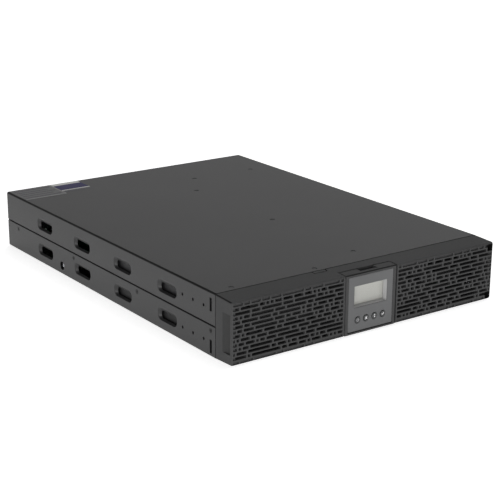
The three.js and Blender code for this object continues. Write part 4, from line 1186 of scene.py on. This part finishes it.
def fan_rotor(index):
    """Hub with swept, cambered blades that thin out towards their tips and edges."""
    node = Box(f"fan_rotor_{index}")
    frame_box = Box(f"fan_frame_{index}")
    x, z, y0 = node.x, frame_box.z, frame_box.y0

    def hub(bm):
        profile = [(2.2, 8.6), (2.2, 4), (16, 4), (16.5, 4.5), (16.5, 19.6), (15.4, 20.8), (0.01, 21)]
        turned(bm, [(r, y0 + y) for r, y in profile], x, z, 48)

    def blade(start):
        def make(bm):
            rings = []
            for i in range(BLADE_STATIONS + 1):
                t = i / BLADE_STATIONS
                radius = BLADE_ROOT + (BLADE_TIP - BLADE_ROOT) * t
                spread = math.radians(58 - 3 * t)
                lean = start + math.radians(18 * t * t)
                back, front = [], []
                for k in range(BLADE_CHORD + 1):
                    s = k / BLADE_CHORD
                    thick = 0.25 + 1.0 * math.sin(math.pi * s) * (1 - 0.4 * t)
                    angle = lean + spread * (s - 0.5)
                    u, v = x + radius * math.cos(angle), z + radius * math.sin(angle)
                    y = y0 + BLADE_FOOT + BLADE_RISE * s
                    back.append((u, y + thick, v))
                    front.append((u, y - 0.25, v))
                rings.append(back + front[::-1])
            loft(bm, rings)
        return make

    blades = [blade(2 * math.pi * k / BLADES) for k in range(BLADES)]
    bm = join(drawn(hub), *blades)
    finish_piece(bm, f"fan_rotor_{index}_moulding", FAN_PLASTIC, f"fan_rotor_{index}",
                 [f"fan_rotor_{index}"])


def fan_guard(index):
    """Five wire rings on two crossed pairs of arms, ending in flattened eyes over the corner holes."""
    guard = Box(f"fan_guard_{index}")
    x, z = guard.x, guard.z
    wire = GUARD_WIRE
    middle = guard.y0 + 0.2 + wire
    bm = bmesh.new()
    for radius in GUARD_RINGS:
        hoop(bm, radius, wire, x, middle, z)
    corner = FAN_CORNER * math.sqrt(2)
    for angle in (45, 135, 225, 315):
        turn = math.radians(angle)
        along = Vector((math.cos(turn), math.sin(turn)))
        across = Vector((-along.y, along.x))
        rings = []
        for reach, lift in ((7.6, 1.5 * wire), (37.6, 1.5 * wire), (corner - 3.0, 0)):
            row = [(along * reach + across * u, v) for u, v in circle(wire, 10)]
            rings.append([(x + p.x, middle + v + lift, z + p.y) for p, v in row])
        loft(bm, rings)
        eye_x, eye_z = x + along.x * corner, z + along.y * corner
        hoop(bm, GUARD_EYE, wire, eye_x, middle, eye_z, 28, 8)
        turned(bm, [(2.0, guard.y0 - 0.2), (2.0, middle), (3.4, middle + 0.1), (3.2, middle + 1.2),
                    (2.0, middle + 1.6), (0.01, middle + 1.65)], eye_x, eye_z, 20)
    finish_piece(bm, f"fan_guard_{index}_wire", WIRE, "chassis", [f"fan_guard_{index}"])


for fan in (1, 2):
    fan_frame(fan)
    fan_rotor(fan)
    fan_guard(fan)

# ------------------------------ CAD nodes that stay


def dress(node, material, bevel=0.0, segments=2):
    """Gives a CAD node its material and, with a modifier, softer edges."""
    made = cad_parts[node]
    made.data.materials.clear()
    made.data.materials.append(material)
    for polygon in made.data.polygons:
        polygon.use_smooth = False
    if not bevel:
        return
    weld = made.modifiers.new("weld", "WELD")
    weld.merge_threshold = 0.00001
    edge = made.modifiers.new("edges", "BEVEL")
    edge.width = bevel * MM
    edge.segments = segments
    edge.limit_method = "ANGLE"
    edge.angle_limit = math.radians(40)
    edge.use_clamp_overlap = True
    edge.harden_normals = False


def dress_all():
    plain = [
        (PAINT, 0.15, ["front_frame", "battery_door", "rear_panel"]),
        (PAINT, 0.2, ["slot_cover"]),
        (SOCKET, 0.3, ["outlet_bank_1", "outlet_bank_2", "outlet_c19", "ac_inlet", "input_breaker",
                       "surge_ports"]),
        (RED_PLASTIC, 0.3, ["input_breaker_button"]),
        (SOCKET, 0.3, ["battery_socket", "battery_connector"]),
        (ZINC, 0.15, ["usb_port", "serial_port", "ground_screw"]),
        (BLACK_STEEL, 0.15, ["battery_tray"]),
        (GREEN, 0.2, ["epo_terminal"]),
        (BOARD, 0.1, ["main_board", "charger_board", "lcd_board"]),
        (ANODISED, 0.15, ["heatsink_1", "heatsink_2"]),
        (COPPER, 0.4, ["inductor_1", "inductor_2"]),
        (SLEEVE, 0.4, ["dc_capacitor_1", "dc_capacitor_2"]),
        (FERRITE, 0.4, ["transformer"]),
        (BATTERY, 0.6, [f"battery_{i + 1}" for i in range(6)]),
    ]
    for material, bevel, nodes in plain:
        for node in nodes:
            dress(node, material, bevel)


dress_all()
